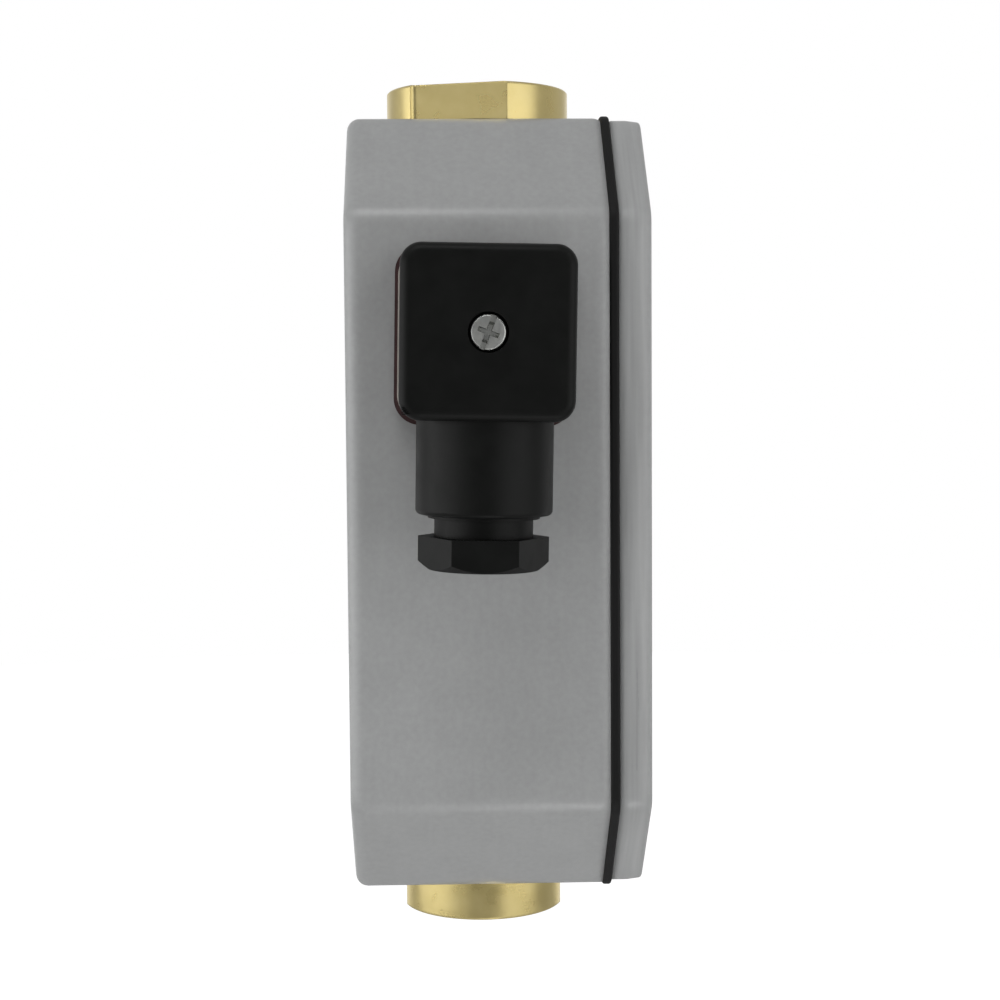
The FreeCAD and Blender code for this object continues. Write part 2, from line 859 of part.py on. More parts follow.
def swept(edges, radius):
    """Round wire of a radius along edges that run on from one another."""
    start = edges[0].valueAt(edges[0].FirstParameter)
    tangent = edges[0].tangentAt(edges[0].FirstParameter)
    shell = Part.BRepOffsetAPI.MakePipeShell(Part.Wire(edges))
    shell.add(Part.Wire([Part.makeCircle(radius, start, tangent)]))
    shell.build()
    shell.makeSolid()
    return shell.shape()


def return_spring():
    low, high = spring_ends()
    pitch = (high - low) / spring_turns
    gap = pitch * math.cos(math.atan2(pitch, 2 * math.pi * spring_radius)) - spring_wire
    print("return spring: least gap between turns %.2f mm" % gap)
    return swept(helix_edges(spring_radius, low, high, spring_turns), spring_wire / 2)


# Chassis on the dry side

def chassis_plate():
    plate = panel(plate_half_width, plate_half_height, plate_corner, plate_front_y, plate_back_y)
    front = plate_front_y - past
    back = plate_back_y + past
    cuts = [box(-plate_slot_half_width, plate_slot_half_width, front, back,
                middle - plate_slot_half_height, middle + plate_slot_half_height)]
    slot_half = key_width / 2 + carriage_gap
    key_z = switch_middle + key_from_switch
    key_reach = key_length / 2 + carriage_travel + slot_room + slot_half
    cuts.append(slot_y(key_x, slot_half, key_z - key_reach, key_z + key_reach, front, back))
    for x, z in corner_places(chassis_boss_x, chassis_boss_z):
        cuts.append(rod_y_axis(chassis_screw_radius + body_clearance, x, z, front, back))
    for x, z in corner_places(block_screw_x, block_middle):
        cuts.append(rod_y_axis(block_screw_radius, x, z, front, back))
    for x, z in corner_places(standoff_x, standoff_z):
        cuts.append(rod_y_axis(scale_screw_radius, x, z, front, back))
    return plate.cut(group(cuts))


def chassis_screws():
    return group(pan_screw(x, z, plate_front_y, chassis_head_radius, chassis_head_height,
                           chassis_screw_radius, plate_thickness + thread_depth - thread_end_room)
                 for x, z in corner_places(chassis_boss_x, chassis_boss_z))


def rod_blocks():
    blocks = []
    front = plate_front_y - block_depth
    for side in (-1, 1):
        centre = middle + side * block_middle
        low = centre - block_height / 2
        high = centre + block_height / 2
        block = box(-block_half_width, block_half_width, front, plate_front_y, low, high)
        inner = middle + side * (block_middle - block_height / 2)
        holes = [rod_z(rod_radius + seat_gap, x, rod_y, inner - side, inner + side * rod_seat_depth)
                 for x in (-rod_x, rod_x)]
        for x in (-block_screw_x, block_screw_x):
            holes.append(rod_y_axis(block_screw_radius + seat_gap, x, centre, front - past,
                                    plate_front_y + past))
            holes.append(rod_y_axis(block_head_radius + seat_gap, x, centre, front - past,
                                    front + block_head_height))
        blocks.append(block.cut(group(holes)))
    return group(blocks)


def block_screws():
    under = plate_front_y - block_depth + block_head_height
    length = plate_back_y - under
    return group(pan_screw(x, z, under, block_head_radius, block_head_height, block_screw_radius, length)
                 for x, z in corner_places(block_screw_x, block_middle))


def guide_rods():
    reach = block_middle - block_height / 2 + rod_seat_depth - rest_gap
    return group(rod_z(rod_radius, x, rod_y, middle - reach, middle + reach) for x in (-rod_x, rod_x))


# Follower

def follower_magnet_back():
    return -waist_radius - magnet_air_gap


def follower_carrier():
    block = box(-follower_half_width, follower_half_width, follower_back_y, follower_front_y,
                follower_low, follower_low + follower_height)
    corners = [edge for edge in block.Edges if abs(edge.Length - follower_height) < 1e-6]
    block = block.makeChamfer(follower_chamfer, corners)
    high = follower_low + follower_height
    holes = [rod_z(rod_radius + rod_clearance, x, rod_y, follower_low - past, high + past)
             for x in (-rod_x, rod_x)]
    half_w = follower_magnet_width / 2 + seat_gap
    half_h = follower_magnet_height / 2 + seat_gap
    pocket_y = follower_magnet_back() - follower_magnet_depth
    holes.append(box(-half_w, half_w, pocket_y, 0, pointer_rest - half_h, pointer_rest + half_h))
    return block.cut(group(holes))


def follower_magnet():
    back = follower_magnet_back()
    half_w = follower_magnet_width / 2
    half_h = follower_magnet_height / 2
    return box(-half_w, half_w, back - follower_magnet_depth, back,
               pointer_rest - half_h, pointer_rest + half_h)


def follower_cam():
    """Bump on the carrier's side that meets the roller when the pointer passes the set point."""
    x0 = follower_half_width
    x1 = x0 + cam_rise
    high = pointer_rest - (switch_below_pointer - roller_height) + cam_height / 2
    low = high - cam_height
    points = [V(x0, 0, low), V(x1, 0, low + cam_rise), V(x1, 0, high - cam_rise), V(x0, 0, high)]
    face = Part.Face(Part.makePolygon(points + [points[0]]))
    face.translate(V(0, lever_y - cam_width / 2, 0))
    return face.extrude(V(0, cam_width, 0))


def pointer(root_x, tip_x, z, stem_back_y):
    """Flat pointer in front of the scale on a stem that comes through its slot."""
    back = pointer_back_y
    points = [V(root_x, back, z - pointer_root), V(root_x, back, z + pointer_root),
              V(tip_x, back, z + pointer_tip), V(tip_x, back, z - pointer_tip)]
    blade = Part.Face(Part.makePolygon(points + [points[0]])).extrude(V(0, -pointer_thickness, 0))
    way = math.copysign(2 * pointer_stem, root_x - tip_x)
    stem = box(root_x, root_x - way, stem_back_y, pointer_front_y, z - pointer_stem, z + pointer_stem)
    return fused(stem, [blade])


def flow_pointer():
    return pointer(pointer_stem, -pointer_reach, pointer_rest, follower_front_y)


# Switch on its carriage

def switch_carriage():
    low = switch_middle - carriage_below
    high = switch_middle + carriage_above
    plate = box(carriage_inner_x, carriage_outer_x, carriage_back_y, switch_back_y, low, high)
    key_z = switch_middle + key_from_switch
    key = box(key_x - key_width / 2, key_x + key_width / 2, carriage_back_y, carriage_back_y + key_depth,
              key_z - key_length / 2, key_z + key_length / 2)
    plate = fused(plate, [key])
    holes = [rod_y_axis(lock_radius + seat_gap, key_x, key_z, switch_back_y - past, plate_back_y)]
    for z in switch_screw_heights():
        holes.append(rod_y_axis(switch_screw_radius, switch_screw_x(), z, switch_back_y - past,
                                carriage_back_y + past))
    return plate.cut(group(holes))


def switch_screw_x():
    return switch_x + switch_depth - switch_screw_edge


def switch_screw_heights():
    return [switch_middle - switch_screw_pitch / 2, switch_middle + switch_screw_pitch / 2]


def carriage_lock_screw():
    nut_back = plate_back_y + carriage_gap + nut_height
    return pan_screw(key_x, switch_middle + key_from_switch, switch_back_y, lock_head_radius,
                     lock_head_height, lock_radius, nut_back - switch_back_y)


def hexagon(across_flats, centre, axis, length, turn):
    """Hexagon prism from a centre along an axis, with its flats turned by an angle."""
    radius = across_flats / math.sqrt(3)
    points = [V(radius * math.cos(math.radians(60 * k)), radius * math.sin(math.radians(60 * k)), 0)
              for k in range(7)]
    prism = Part.Face(Part.makePolygon(points)).extrude(V(0, 0, length))
    prism.rotate(V(0, 0, 0), V(0, 0, 1), turn)
    prism.Placement = FreeCAD.Placement(centre, FreeCAD.Rotation(V(0, 0, 1), axis)).multiply(prism.Placement)
    return prism


def carriage_nut():
    z = switch_middle + key_from_switch
    low = plate_back_y + carriage_gap
    nut = hexagon(nut_across_flats, V(key_x, low, z), V(0, 1, 0), nut_height, 0)
    return nut.cut(rod_y_axis(lock_radius + seat_gap, key_x, z, low - past, low + nut_height + past))


def setpoint_pointer():
    root_x = carriage_inner_x + 2 * pointer_stem
    return pointer(root_x, root_x - pointer_reach, setpoint_rest, switch_back_y)


def microswitch_body():
    x1 = switch_x + switch_depth
    low = switch_middle - switch_length / 2
    high = switch_middle + switch_length / 2
    body = box(switch_x, x1, switch_back_y, switch_front_y, low, high)
    ears = []
    for y in (switch_back_y, switch_front_y + ear_thickness):
        ear = box(pivot_x, switch_x, y - ear_thickness, y, low, pivot_z + lever_knuckle)
        ears.append(ear.fuse(rod_y_axis(lever_knuckle, pivot_x, pivot_z, y - ear_thickness, y)))
    body = fused(body, ears)
    cuts = [rod_x_axis(plunger_radius + running, lever_y, plunger_z, switch_x - past,
                       switch_x + plunger_inside + plunger_travel_room)]
    for z in switch_screw_heights():
        cuts.append(rod_y_axis(switch_screw_radius + seat_gap, switch_screw_x(), z, switch_front_y - past, 0))
        cuts.append(rod_y_axis(switch_head_radius + seat_gap, switch_screw_x(), z, switch_front_y - past,
                               switch_front_y + switch_head_recess))
    cuts.append(rod_y_axis(lever_pin_radius + seat_gap, pivot_x, pivot_z, switch_front_y - past, 0))
    return body.cut(group(cuts))


def switch_terminals():
    x0 = switch_x + switch_depth
    tags = []
    for step in (-1, 0, 1):
        z = switch_middle + step * terminal_pitch
        tag = box(x0, x0 + terminal_reach, lever_y, lever_y + terminal_thickness,
                  z - terminal_width / 2, z + terminal_width / 2)
        hole = rod_y_axis(terminal_hole_radius, tag_hole_x(), z, lever_y - past, lever_y + past)
        tags.append(tag.cut(hole))
    return group(tags)


def tag_hole_x():
    return switch_x + switch_depth + terminal_reach - terminal_hole_edge


def switch_screws():
    under = switch_front_y + switch_head_recess
    length = carriage_back_y - under
    return group(pan_screw(switch_screw_x(), z, under, switch_head_radius, switch_head_height,
                           switch_screw_radius, length) for z in switch_screw_heights())


def lever_pin():
    return rod_y_axis(lever_pin_radius, pivot_x, pivot_z, switch_front_y, switch_back_y)


def switch_lever():
    half = lever_width / 2
    y0 = lever_y - half
    y1 = lever_y + half
    knuckle = rod_y_axis(lever_knuckle, pivot_x, pivot_z, y0, y1)
    top = roller_z - roller_radius - lever_ear_thickness
    blade = box(lever_front_x, lever_back_x, y0, y1, pivot_z, top)
    fork = roller_width / 2 + running
    arms = []
    for side in (-1, 1):
        y = lever_y + side * fork
        edge = y + side * lever_ear_thickness
        arm = box(roller_x - lever_ear_half, lever_back_x, y, edge, top - lever_ear_half, roller_z)
        arm = arm.fuse(rod_y_axis(lever_ear_half, roller_x, roller_z, y, edge))
        arms.append(arm)
    lever = fused(blade, [knuckle] + arms)
    slot = box(roller_x - roller_radius - past, lever_back_x + past, lever_y - fork, lever_y + fork,
               top, roller_z + roller_radius)
    holes = [rod_y_axis(lever_pin_radius + running, pivot_x, pivot_z, y0 - past, y1 + past),
             rod_y_axis(roller_pin_radius + seat_gap, roller_x, roller_z, y0 - past, y1 + past), slot]
    return lever.cut(group(holes))


def roller_pin():
    reach = roller_width / 2 + running + lever_ear_thickness
    return rod_y_axis(roller_pin_radius, roller_x, roller_z, lever_y - reach, lever_y + reach)


def lever_roller():
    half = roller_width / 2
    wheel = rod_y_axis(roller_radius, roller_x, roller_z, lever_y - half, lever_y + half)
    bore_half = half + past
    return wheel.cut(rod_y_axis(roller_pin_radius + running, roller_x, roller_z,
                                lever_y - bore_half, lever_y + bore_half))


def switch_plunger():
    tip = lever_back_x + plunger_gap
    pin = rod_x_axis(plunger_radius, lever_y, plunger_z, tip + plunger_dome, switch_x + plunger_inside)
    dome = Part.makeCone(plunger_radius - plunger_dome, plunger_radius, plunger_dome,
                         V(tip, lever_y, plunger_z), V(1, 0, 0))
    return fused(pin, [dome])


# Scale plate

def scale_plate():
    plate = panel(scale_half_width, scale_half_height, scale_corner, scale_front_y, scale_back_y)
    front = scale_front_y - past
    back = scale_back_y + past
    half = pointer_stem + slot_room
    end = pointer_stem + 2 * slot_room
    cuts = [slot_y(0, half, pointer_rest - end, pointer_rest + stroke + end, front, back),
            slot_y(carriage_inner_x + pointer_stem, half, setpoint_rest - carriage_travel - end,
                   setpoint_rest + carriage_travel + end, front, back)]
    for x, z in corner_places(standoff_x, standoff_z):
        cuts.append(rod_y_axis(scale_screw_radius + seat_gap, x, z, front, back))
    return plate.cut(group(cuts))


def scale_standoffs():
    return group(rod_y_axis(standoff_radius, x, z, scale_back_y, plate_front_y).cut(
        rod_y_axis(scale_screw_radius, x, z, scale_back_y - past, plate_front_y + past))
        for x, z in corner_places(standoff_x, standoff_z))


def scale_screws():
    return group(pan_screw(x, z, scale_front_y, scale_head_radius, scale_head_height, scale_screw_radius,
                           plate_back_y - scale_front_y)
                 for x, z in corner_places(standoff_x, standoff_z))


# Connector, turned a touch about its own axis as it is on the real one

def turned(shape):
    copy = shape.copy()
    copy.rotate(V(0, 0, connector_z), V(1, 0, 0), connector_twist)
    return copy


def connector_corners(place):
    return [(sy * place, connector_z + sz * place) for sy in (-1, 1) for sz in (-1, 1)]


def square_prism(half, corner, x0, x1):
    corners = [V(x0, sy * half, connector_z + sz * half) for sy, sz in ((1, 1), (-1, 1), (-1, -1), (1, -1))]
    return Part.Face(rounded_wire(corners, corner)).extrude(V(x1 - x0, 0, 0))


def blade_places():
    """Centre and half sizes of each contact blade in the connector's face."""
    wide = blade_width / 2
    thin = blade_thickness / 2
    return [(-blade_place, 0, thin, wide), (blade_place, 0, thin, wide),
            (0, blade_place, wide, thin), (0, -blade_place, wide, thin)]


def blade_box(place, x0, x1, room):
    y, z, half_y, half_z = place
    return box(x0, x1, y - half_y - room, y + half_y + room,
               connector_z + z - half_z - room, connector_z + z + half_z + room)


def base_gasket():
    sheet = square_prism(base_half_width - plug_gasket_inset, base_corner, side_x, base_back_x)
    holes = [rod_x_axis(base_hub_radius + seat_gap, 0, connector_z, side_x + past, base_back_x - past)]
    holes += [rod_x_axis(base_screw_radius + seat_gap, y, z, side_x + past, base_back_x - past)
              for y, z in connector_corners(base_screw_place)]
    return turned(sheet.cut(group(holes)))


def connector_base():
    flange = square_prism(base_half_width, base_corner, base_back_x, base_front_x)
    hub = rod_x_axis(base_hub_radius, 0, connector_z, base_back_x, side_x + case_wall + base_hub_inside)
    body = fused(flange, [hub])
    inner = side_x + case_wall + base_hub_inside + past
    cuts = [blade_box(place, base_front_x - past, inner, 0) for place in blade_places()]
    cuts.append(rod_x_axis(screw_shaft_radius + screw_shaft_clearance, 0, connector_z, base_front_x - past,
                           base_front_x + screw_in_base + past))
    for y, z in connector_corners(base_screw_place):
        cuts.append(rod_x_axis(base_screw_radius + seat_gap, y, z, base_front_x - past, side_x))
        cuts.append(Part.makeCone(base_head_radius + seat_gap, base_screw_radius + seat_gap,
                                  base_head_radius - base_screw_radius, V(base_front_x, y, z), V(1, 0, 0)))
    return turned(body.cut(group(cuts)))


def base_screws():
    screws = []
    for y, z in connector_corners(base_screw_place):
        head = Part.makeCone(base_head_radius, base_screw_radius, base_head_radius - base_screw_radius,
                             V(base_front_x, y, z), V(1, 0, 0))
        shank = rod_x_axis(base_screw_radius, y, z, base_front_x + past, side_x + case_wall)
        screws.append(turned(head.fuse(shank)))
    return group(screws)


def contact_blades():
    inner = side_x + case_wall + base_hub_inside + blade_inside
    return group(turned(blade_box(place, blade_tip_x, inner, 0)) for place in blade_places())


def plug_gasket():
    half = base_half_width - plug_gasket_inset
    sheet = square_prism(half, base_corner, base_front_x, plug_back_x)
    opening = square_prism(half - plug_gasket_border, base_corner, base_front_x + past, plug_back_x - past)
    return turned(sheet.cut(opening))


# Inner leads

def bent_edges(points, bends):
    """Straight runs through the points, with a tangent arc of its own radius at each inner point."""
    edges = []
    start = points[0]
    for before, corner, after, bend in zip(points, points[1:], points[2:], bends):
        back = (before - corner).normalize()
        ahead = (after - corner).normalize()
        reach = bend / math.tan(back.getAngle(ahead) / 2)
        edges.append(Part.LineSegment(start, corner + back * reach).toShape())
        edges.append(arc_by_tangents(corner + back * reach, corner, corner + ahead * reach))
        start = corner + ahead * reach
    edges.append(Part.LineSegment(start, points[-1]).toShape())
    return edges


def switch_leads():
    """Three leads, each from a tag out to its own lane, up, across, back and down to its blade."""
    pitch = 2 * lead_radius + lead_gap
    tag_x = tag_hole_x()
    blade_x = side_x + case_wall + base_hub_inside + lead_blade_x
    side_top = blade_width / 2
    ends = [(-blade_place, side_top), (0, blade_place + blade_thickness / 2), (blade_place, side_top)]
    leads = []
    for index, (blade_y, blade_top) in enumerate(ends):
        tag_z = switch_middle + (index - 1) * terminal_pitch
        lane_y = lever_y - lead_first_lane - (2 - index) * pitch
        row_z = middle + lead_low_row + index * pitch
        points = [V(tag_x, lever_y - seat_gap, tag_z), V(tag_x, lane_y, tag_z), V(tag_x, lane_y, row_z),
                  V(blade_x, lane_y, row_z), V(blade_x, blade_y, row_z),
                  V(blade_x, blade_y, connector_z + blade_top + lead_end_gap)]
        bends = [lead_end_bend, lead_bend, lead_bend, lead_bend]
        leads.append(swept(bent_edges(points, bends), lead_radius))
    return group(leads)


# Plug and gland

def plug_housing():
    half = plug_width / 2
    block = square_prism(half, plug_corner, plug_back_x, plug_face_x)
    face_edges = [edge for edge in block.Edges
                  if all(abs(vertex.Point.x - plug_face_x) < 1e-6 for vertex in edge.Vertexes)]
    block = block.makeFillet(plug_face_radius, face_edges)
    barrel = rod_z(gland_radius, gland_x, 0, cylinder_low, connector_z)
    rim = [edge for edge in barrel.Edges
           if edge.Closed and abs(edge.CenterOfMass.z - cylinder_low) < 1e-6]
    barrel = barrel.makeFillet(gland_edge_radius, rim)
    neck = rod_z(neck_radius, gland_x, 0, neck_low, cylinder_low + past)
    collar = rod_z(neck_collar_radius, gland_x, 0, cylinder_low - neck_collar_height, cylinder_low + past)
    body = fused(block, [barrel, neck, collar])
    cavity = square_prism(half - plug_wall, insert_corner, plug_back_x + past, plug_face_x + 2 * plug_wall)
    bore_top = connector_z - half + plug_wall + past
    entry = rod_z(entry_radius, gland_x, 0, neck_low - past, bore_top)
    seat = rod_z(neck_bore, gland_x, 0, neck_low - past, neck_low + gland_seal_length)
    shaft = rod_x_axis(screw_shaft_radius + screw_shaft_clearance, 0, connector_z,
                       plug_face_x - past, plug_back_x)
    counterbore = rod_x_axis(screw_counterbore, 0, connector_z, plug_face_x - past,
                             plug_face_x + screw_head_depth + screw_head_height)
    return turned(body.cut(group([cavity, entry, seat, shaft, counterbore])))


def insert_half():
    return plug_width / 2 - plug_wall - insert_clearance


def plug_insert():
    front = plug_back_x - insert_depth
    block = square_prism(insert_half(), insert_corner, plug_back_x, front)
    cuts = [clip_box(place, blade_clearance + clip_wall + seat_gap, seat_gap) for place in blade_places()]
    cuts += [terminal_hole(place, terminal_screw_radius + seat_gap) for place in blade_places()]
    cuts.append(rod_x_axis(screw_shaft_radius + screw_shaft_clearance, 0, connector_z,
                           front - past, plug_back_x + past))
    return turned(block.cut(group(cuts)))


def clip_box(place, room, end_room):
    return blade_box(place, plug_back_x + end_room, plug_back_x - clip_length - end_room, room)


def terminal_hole(place, radius):
    """Clamp screw's way from a clip to the insert's inner face."""
    y, z = place[0], place[1]
    start = plug_back_x - clip_length
    return rod_x_axis(radius, y, connector_z + z, start - terminal_screw_length, start)


def plug_terminals():
    clips = []
    for place in blade_places():
        clip = clip_box(place, blade_clearance + clip_wall, 0)
        inside = blade_box(place, plug_back_x + past, plug_back_x - clip_length + clip_wall, blade_clearance)
        clips.append(turned(clip.cut(inside)))
    return group(clips)


def terminal_screws():
    return group(turned(terminal_hole(place, terminal_screw_radius)) for place in blade_places())


def plug_screw():
    head_out = plug_face_x + screw_head_depth
    head_in = head_out + screw_head_height
    head = rod_x_axis(screw_head_radius, 0, connector_z, head_out, head_in)
    shaft = rod_x_axis(screw_shaft_radius, 0, connector_z, head_in, base_front_x + screw_in_base)
    slot = box(head_out - past, head_out + slot_depth, -screw_head_radius - past, screw_head_radius + past,
               connector_z - slot_width / 2, connector_z + slot_width / 2)
    slot.rotate(V(0, 0, connector_z), V(1, 0, 0), slot_turn)
    return turned(head.cut(slot).fuse(shaft))


def gland_nut():
    prism = hexagon(gland_nut_across_flats, V(gland_x, 0, nut_low), V(0, 0, 1), gland_nut_height,
                    gland_nut_turn)
    round_radius = gland_nut_across_flats / math.sqrt(3) + gland_nut_corner_room
    low_radius = round_radius - gland_nut_bevel - gland_nut_corner_room
    lower = Part.makeCone(low_radius, round_radius, gland_nut_bevel, V(gland_x, 0, nut_low), V(0, 0, 1))
    upper = rod_z(round_radius, gland_x, 0, nut_low + gland_nut_bevel, nut_high)
    nut = prism.common(lower.fuse(upper))
    inside = rod_z(neck_radius + gland_nut_clearance, gland_x, 0, nut_low + gland_nut_floor, nut_high + past)
    hole = rod_z(gland_nut_hole, gland_x, 0, nut_low - past, nut_high)
    return turned(nut.cut(group([inside, hole])))


def gland_seal():
    low = neck_low + gland_washer_thickness
    high = neck_low + gland_seal_length - seat_gap
    return turned(tube_z(neck_bore - seat_gap, seal_bore, gland_x, 0, low, high))


def gland_washer():
    return turned(tube_z(neck_bore - seat_gap, gland_washer_bore, gland_x, 0, neck_low,
                         neck_low + gland_washer_thickness))


NODES = [housing_base, lid_gasket, lid, lid_screws,
         window_gasket, window_pane, window_retainer, retainer_screws,
         flow_body, body_washer, body_circlip, inlet_seal, outlet_seal,
         inlet_spider, outlet_spider, snap_rings, metering_cone,
         piston, orifice_disc, piston_magnet, spring_seat, return_spring,
         chassis_plate, chassis_screws, rod_blocks, block_screws, guide_rods,
         follower_carrier, follower_magnet, follower_cam, flow_pointer,
         switch_carriage, carriage_lock_screw, carriage_nut, setpoint_pointer,
         microswitch_body, switch_terminals, switch_screws, lever_pin, switch_lever, roller_pin, lever_roller,
         switch_plunger, scale_plate, scale_standoffs, scale_screws,
         base_gasket, connector_base, base_screws, contact_blades, switch_leads, plug_gasket,
         plug_housing, plug_insert, plug_terminals, terminal_screws, plug_screw,
         gland_nut, gland_seal, gland_washer]

os.makedirs("parts", exist_ok=True)
for make in NODES:
    shape = make()
    shape.exportStep("parts/%s.step" % make.__name__)
    print(make.__name__, "solids", len(shape.Solids), "volume %.1f" % shape.Volume, "valid", shape.isValid())
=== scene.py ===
import math

import bmesh
import bpy
from mathutils import Matrix, Vector, noise


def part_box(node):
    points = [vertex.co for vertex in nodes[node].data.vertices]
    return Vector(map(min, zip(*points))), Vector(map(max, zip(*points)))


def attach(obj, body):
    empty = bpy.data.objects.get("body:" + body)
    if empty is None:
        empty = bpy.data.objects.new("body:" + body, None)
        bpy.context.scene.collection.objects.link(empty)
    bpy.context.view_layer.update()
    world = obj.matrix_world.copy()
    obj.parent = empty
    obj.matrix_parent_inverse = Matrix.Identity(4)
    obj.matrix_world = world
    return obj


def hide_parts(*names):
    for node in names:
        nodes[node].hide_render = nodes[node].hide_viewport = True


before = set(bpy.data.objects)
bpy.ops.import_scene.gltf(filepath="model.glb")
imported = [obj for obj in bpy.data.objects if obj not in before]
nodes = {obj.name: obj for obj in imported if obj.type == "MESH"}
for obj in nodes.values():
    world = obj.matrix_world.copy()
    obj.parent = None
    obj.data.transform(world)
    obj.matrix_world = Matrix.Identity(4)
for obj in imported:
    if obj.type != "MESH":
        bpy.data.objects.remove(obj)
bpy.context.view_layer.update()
mm = 0.001
hair = 0.001 * mm  # how far off a point may be and still count as on a line
weldReach = 0.0005 * mm  # two points nearer than this are one
cutReach = 0.0001 * mm  # a point nearer than this to a cutting plane is on it


# Small helpers for colours and nodes

def linearColour(hexText):
    channels = [int(hexText[i:i + 2], 16) / 255 for i in (1, 3, 5)]
    return [c / 12.92 if c <= 0.04045 else ((c + 0.055) / 1.055) ** 2.4 for c in channels] + [1.0]


def perMetre(millimetres):
    return 1 / (millimetres * mm)  # a texture's scale from the real size of its pattern


def addNode(tree, kind, inputs=None, **settings):
    node = tree.nodes.new(kind)
    for name, value in settings.items():
        setattr(node, name, value)
    for name, value in (inputs or {}).items():
        socket = node.inputs[name]
        if isinstance(value, bpy.types.NodeSocket):
            tree.links.new(value, socket)
        else:
            socket.default_value = value
    return node


def startMaterial(name):
    material = bpy.data.materials.new(name)
    material.use_nodes = True
    tree = material.node_tree
    tree.nodes.clear()
    return material, tree, addNode(tree, "ShaderNodeTexCoord").outputs["Object"]


def endMaterial(tree, surface):
    shader = addNode(tree, "ShaderNodeBsdfPrincipled", surface)
    addNode(tree, "ShaderNodeOutputMaterial", {"Surface": shader.outputs[0]})


# Camera, where the photograph was taken from

cameraPlace = {
    "place": (-360.683, 7.754, 102.898),  # mm
    "yaw": 1.848,  # degrees
    "pitch": 3.829,
    "roll": -0.401,
    "focalPixels": 1852.2,
    "pictureWidth": 1000,
    "sensorWidth": 36.0,  # mm
    "clip": (0.01, 20),  # metres
}


def makeCamera():
    yaw, pitch, roll = (math.radians(cameraPlace[k]) for k in ("yaw", "pitch", "roll"))
    ahead = Vector((math.cos(yaw) * math.cos(pitch), -math.sin(yaw) * math.cos(pitch),
                    -math.sin(pitch)))
    level = Vector((-math.sin(yaw), -math.cos(yaw), 0))
    upright = level.cross(ahead)
    right = math.cos(roll) * level + math.sin(roll) * upright
    up = math.cos(roll) * upright - math.sin(roll) * level
    data = bpy.data.cameras.new("photoCamera")
    data.sensor_width = cameraPlace["sensorWidth"]
    data.lens = data.sensor_width * cameraPlace["focalPixels"] / cameraPlace["pictureWidth"]
    data.clip_start, data.clip_end = cameraPlace["clip"]
    camera = bpy.data.objects.new("photoCamera", data)
    bpy.context.scene.collection.objects.link(camera)
    turn = Matrix((right, up, -ahead)).transposed().to_4x4()
    camera.matrix_world = Matrix.Translation(Vector(cameraPlace["place"]) * mm) @ turn
    bpy.context.scene.camera = camera


makeCamera()
print("camera placed")


# Studio: large soft panels left and right of the camera, smaller ones above, and a low one

studio = {
    "floorHeight": -400,  # mm, well below, because the part hangs in its pipe
    "floorRadius": 3000,
    "floorSides": 64,
    "floorLift": 0.75,  # what brings the paper floor up to white in the picture
    "paper": "#e6e6e6",
    "paperRoughness": 0.9,
    "dimLevel": 0.22,  # what the room gives on the camera's side
    "brightLevel": 0.56,  # and behind the part
    "dimTo": -0.6,  # along X, where the dim side ends
    "brightFrom": 0.4,
    "pastFrom": 0.75,  # along X, where what lies past the part begins to show white in gloss
    "pastTo": 0.95,
    "aim": (0, 0, 80),  # mm, what the panels face
}

lamps = [
    {"name": "leftPanel", "place": (-180, 640, 60), "size": (760, 420), "watts": 2.35},
    {"name": "rightPanel", "place": (-430, -500, 60), "size": (640, 420), "watts": 1.5},
    {"name": "nearLeft", "place": (-500, 330, 60), "size": (250, 420), "watts": 0.2},
    {"name": "highLeft", "place": (-340, 240, 540), "size": (160, 160), "watts": 0.33},
    {"name": "highRight", "place": (-360, -420, 480), "size": (100, 100), "watts": 0.35},
    {"name": "lowRight", "place": (-340, -80, -340), "size": (130, 110), "watts": 0.32},
    {"name": "topPanel", "place": (-330, 60, 560), "size": (180, 180), "watts": 0.62},
]


def makeLamps():
    for lamp in lamps:
        data = bpy.data.lights.new(lamp["name"], "AREA")
        data.shape = "RECTANGLE"
        data.size = lamp["size"][0] * mm
        data.size_y = lamp["size"][1] * mm
        data.energy = lamp["watts"]
        item = bpy.data.objects.new(lamp["name"], data)
        item.visible_camera = False
        bpy.context.scene.collection.objects.link(item)
        place = Vector(lamp["place"]) * mm
        turn = (Vector(studio["aim"]) * mm - place).to_track_quat("-Z", "Y").to_matrix().to_4x4()
        item.matrix_world = Matrix.Translation(place) @ turn


def whiteRays(tree, along):
    # 1 for a ray from the camera, and for gloss and glass where the ray also runs on past the part
    path = addNode(tree, "ShaderNodeLightPath")
    past = addNode(tree, "ShaderNodeMapRange",
                   {"Value": along, "From Min": studio["pastFrom"], "From Max": studio["pastTo"]},
                   interpolation_type="SMOOTHSTEP")
    shiny = addNode(tree, "ShaderNodeMath", {0: path.outputs["Is Glossy Ray"],
                                             1: path.outputs["Is Transmission Ray"]},
                    operation="ADD")
    beyond = addNode(tree, "ShaderNodeMath", {0: shiny.outputs[0], 1: past.outputs["Result"]},
                     operation="MULTIPLY")
    return addNode(tree, "ShaderNodeMath",
                   {0: path.outputs["Is Camera Ray"], 1: beyond.outputs[0]},
                   operation="ADD", use_clamp=True).outputs[0]


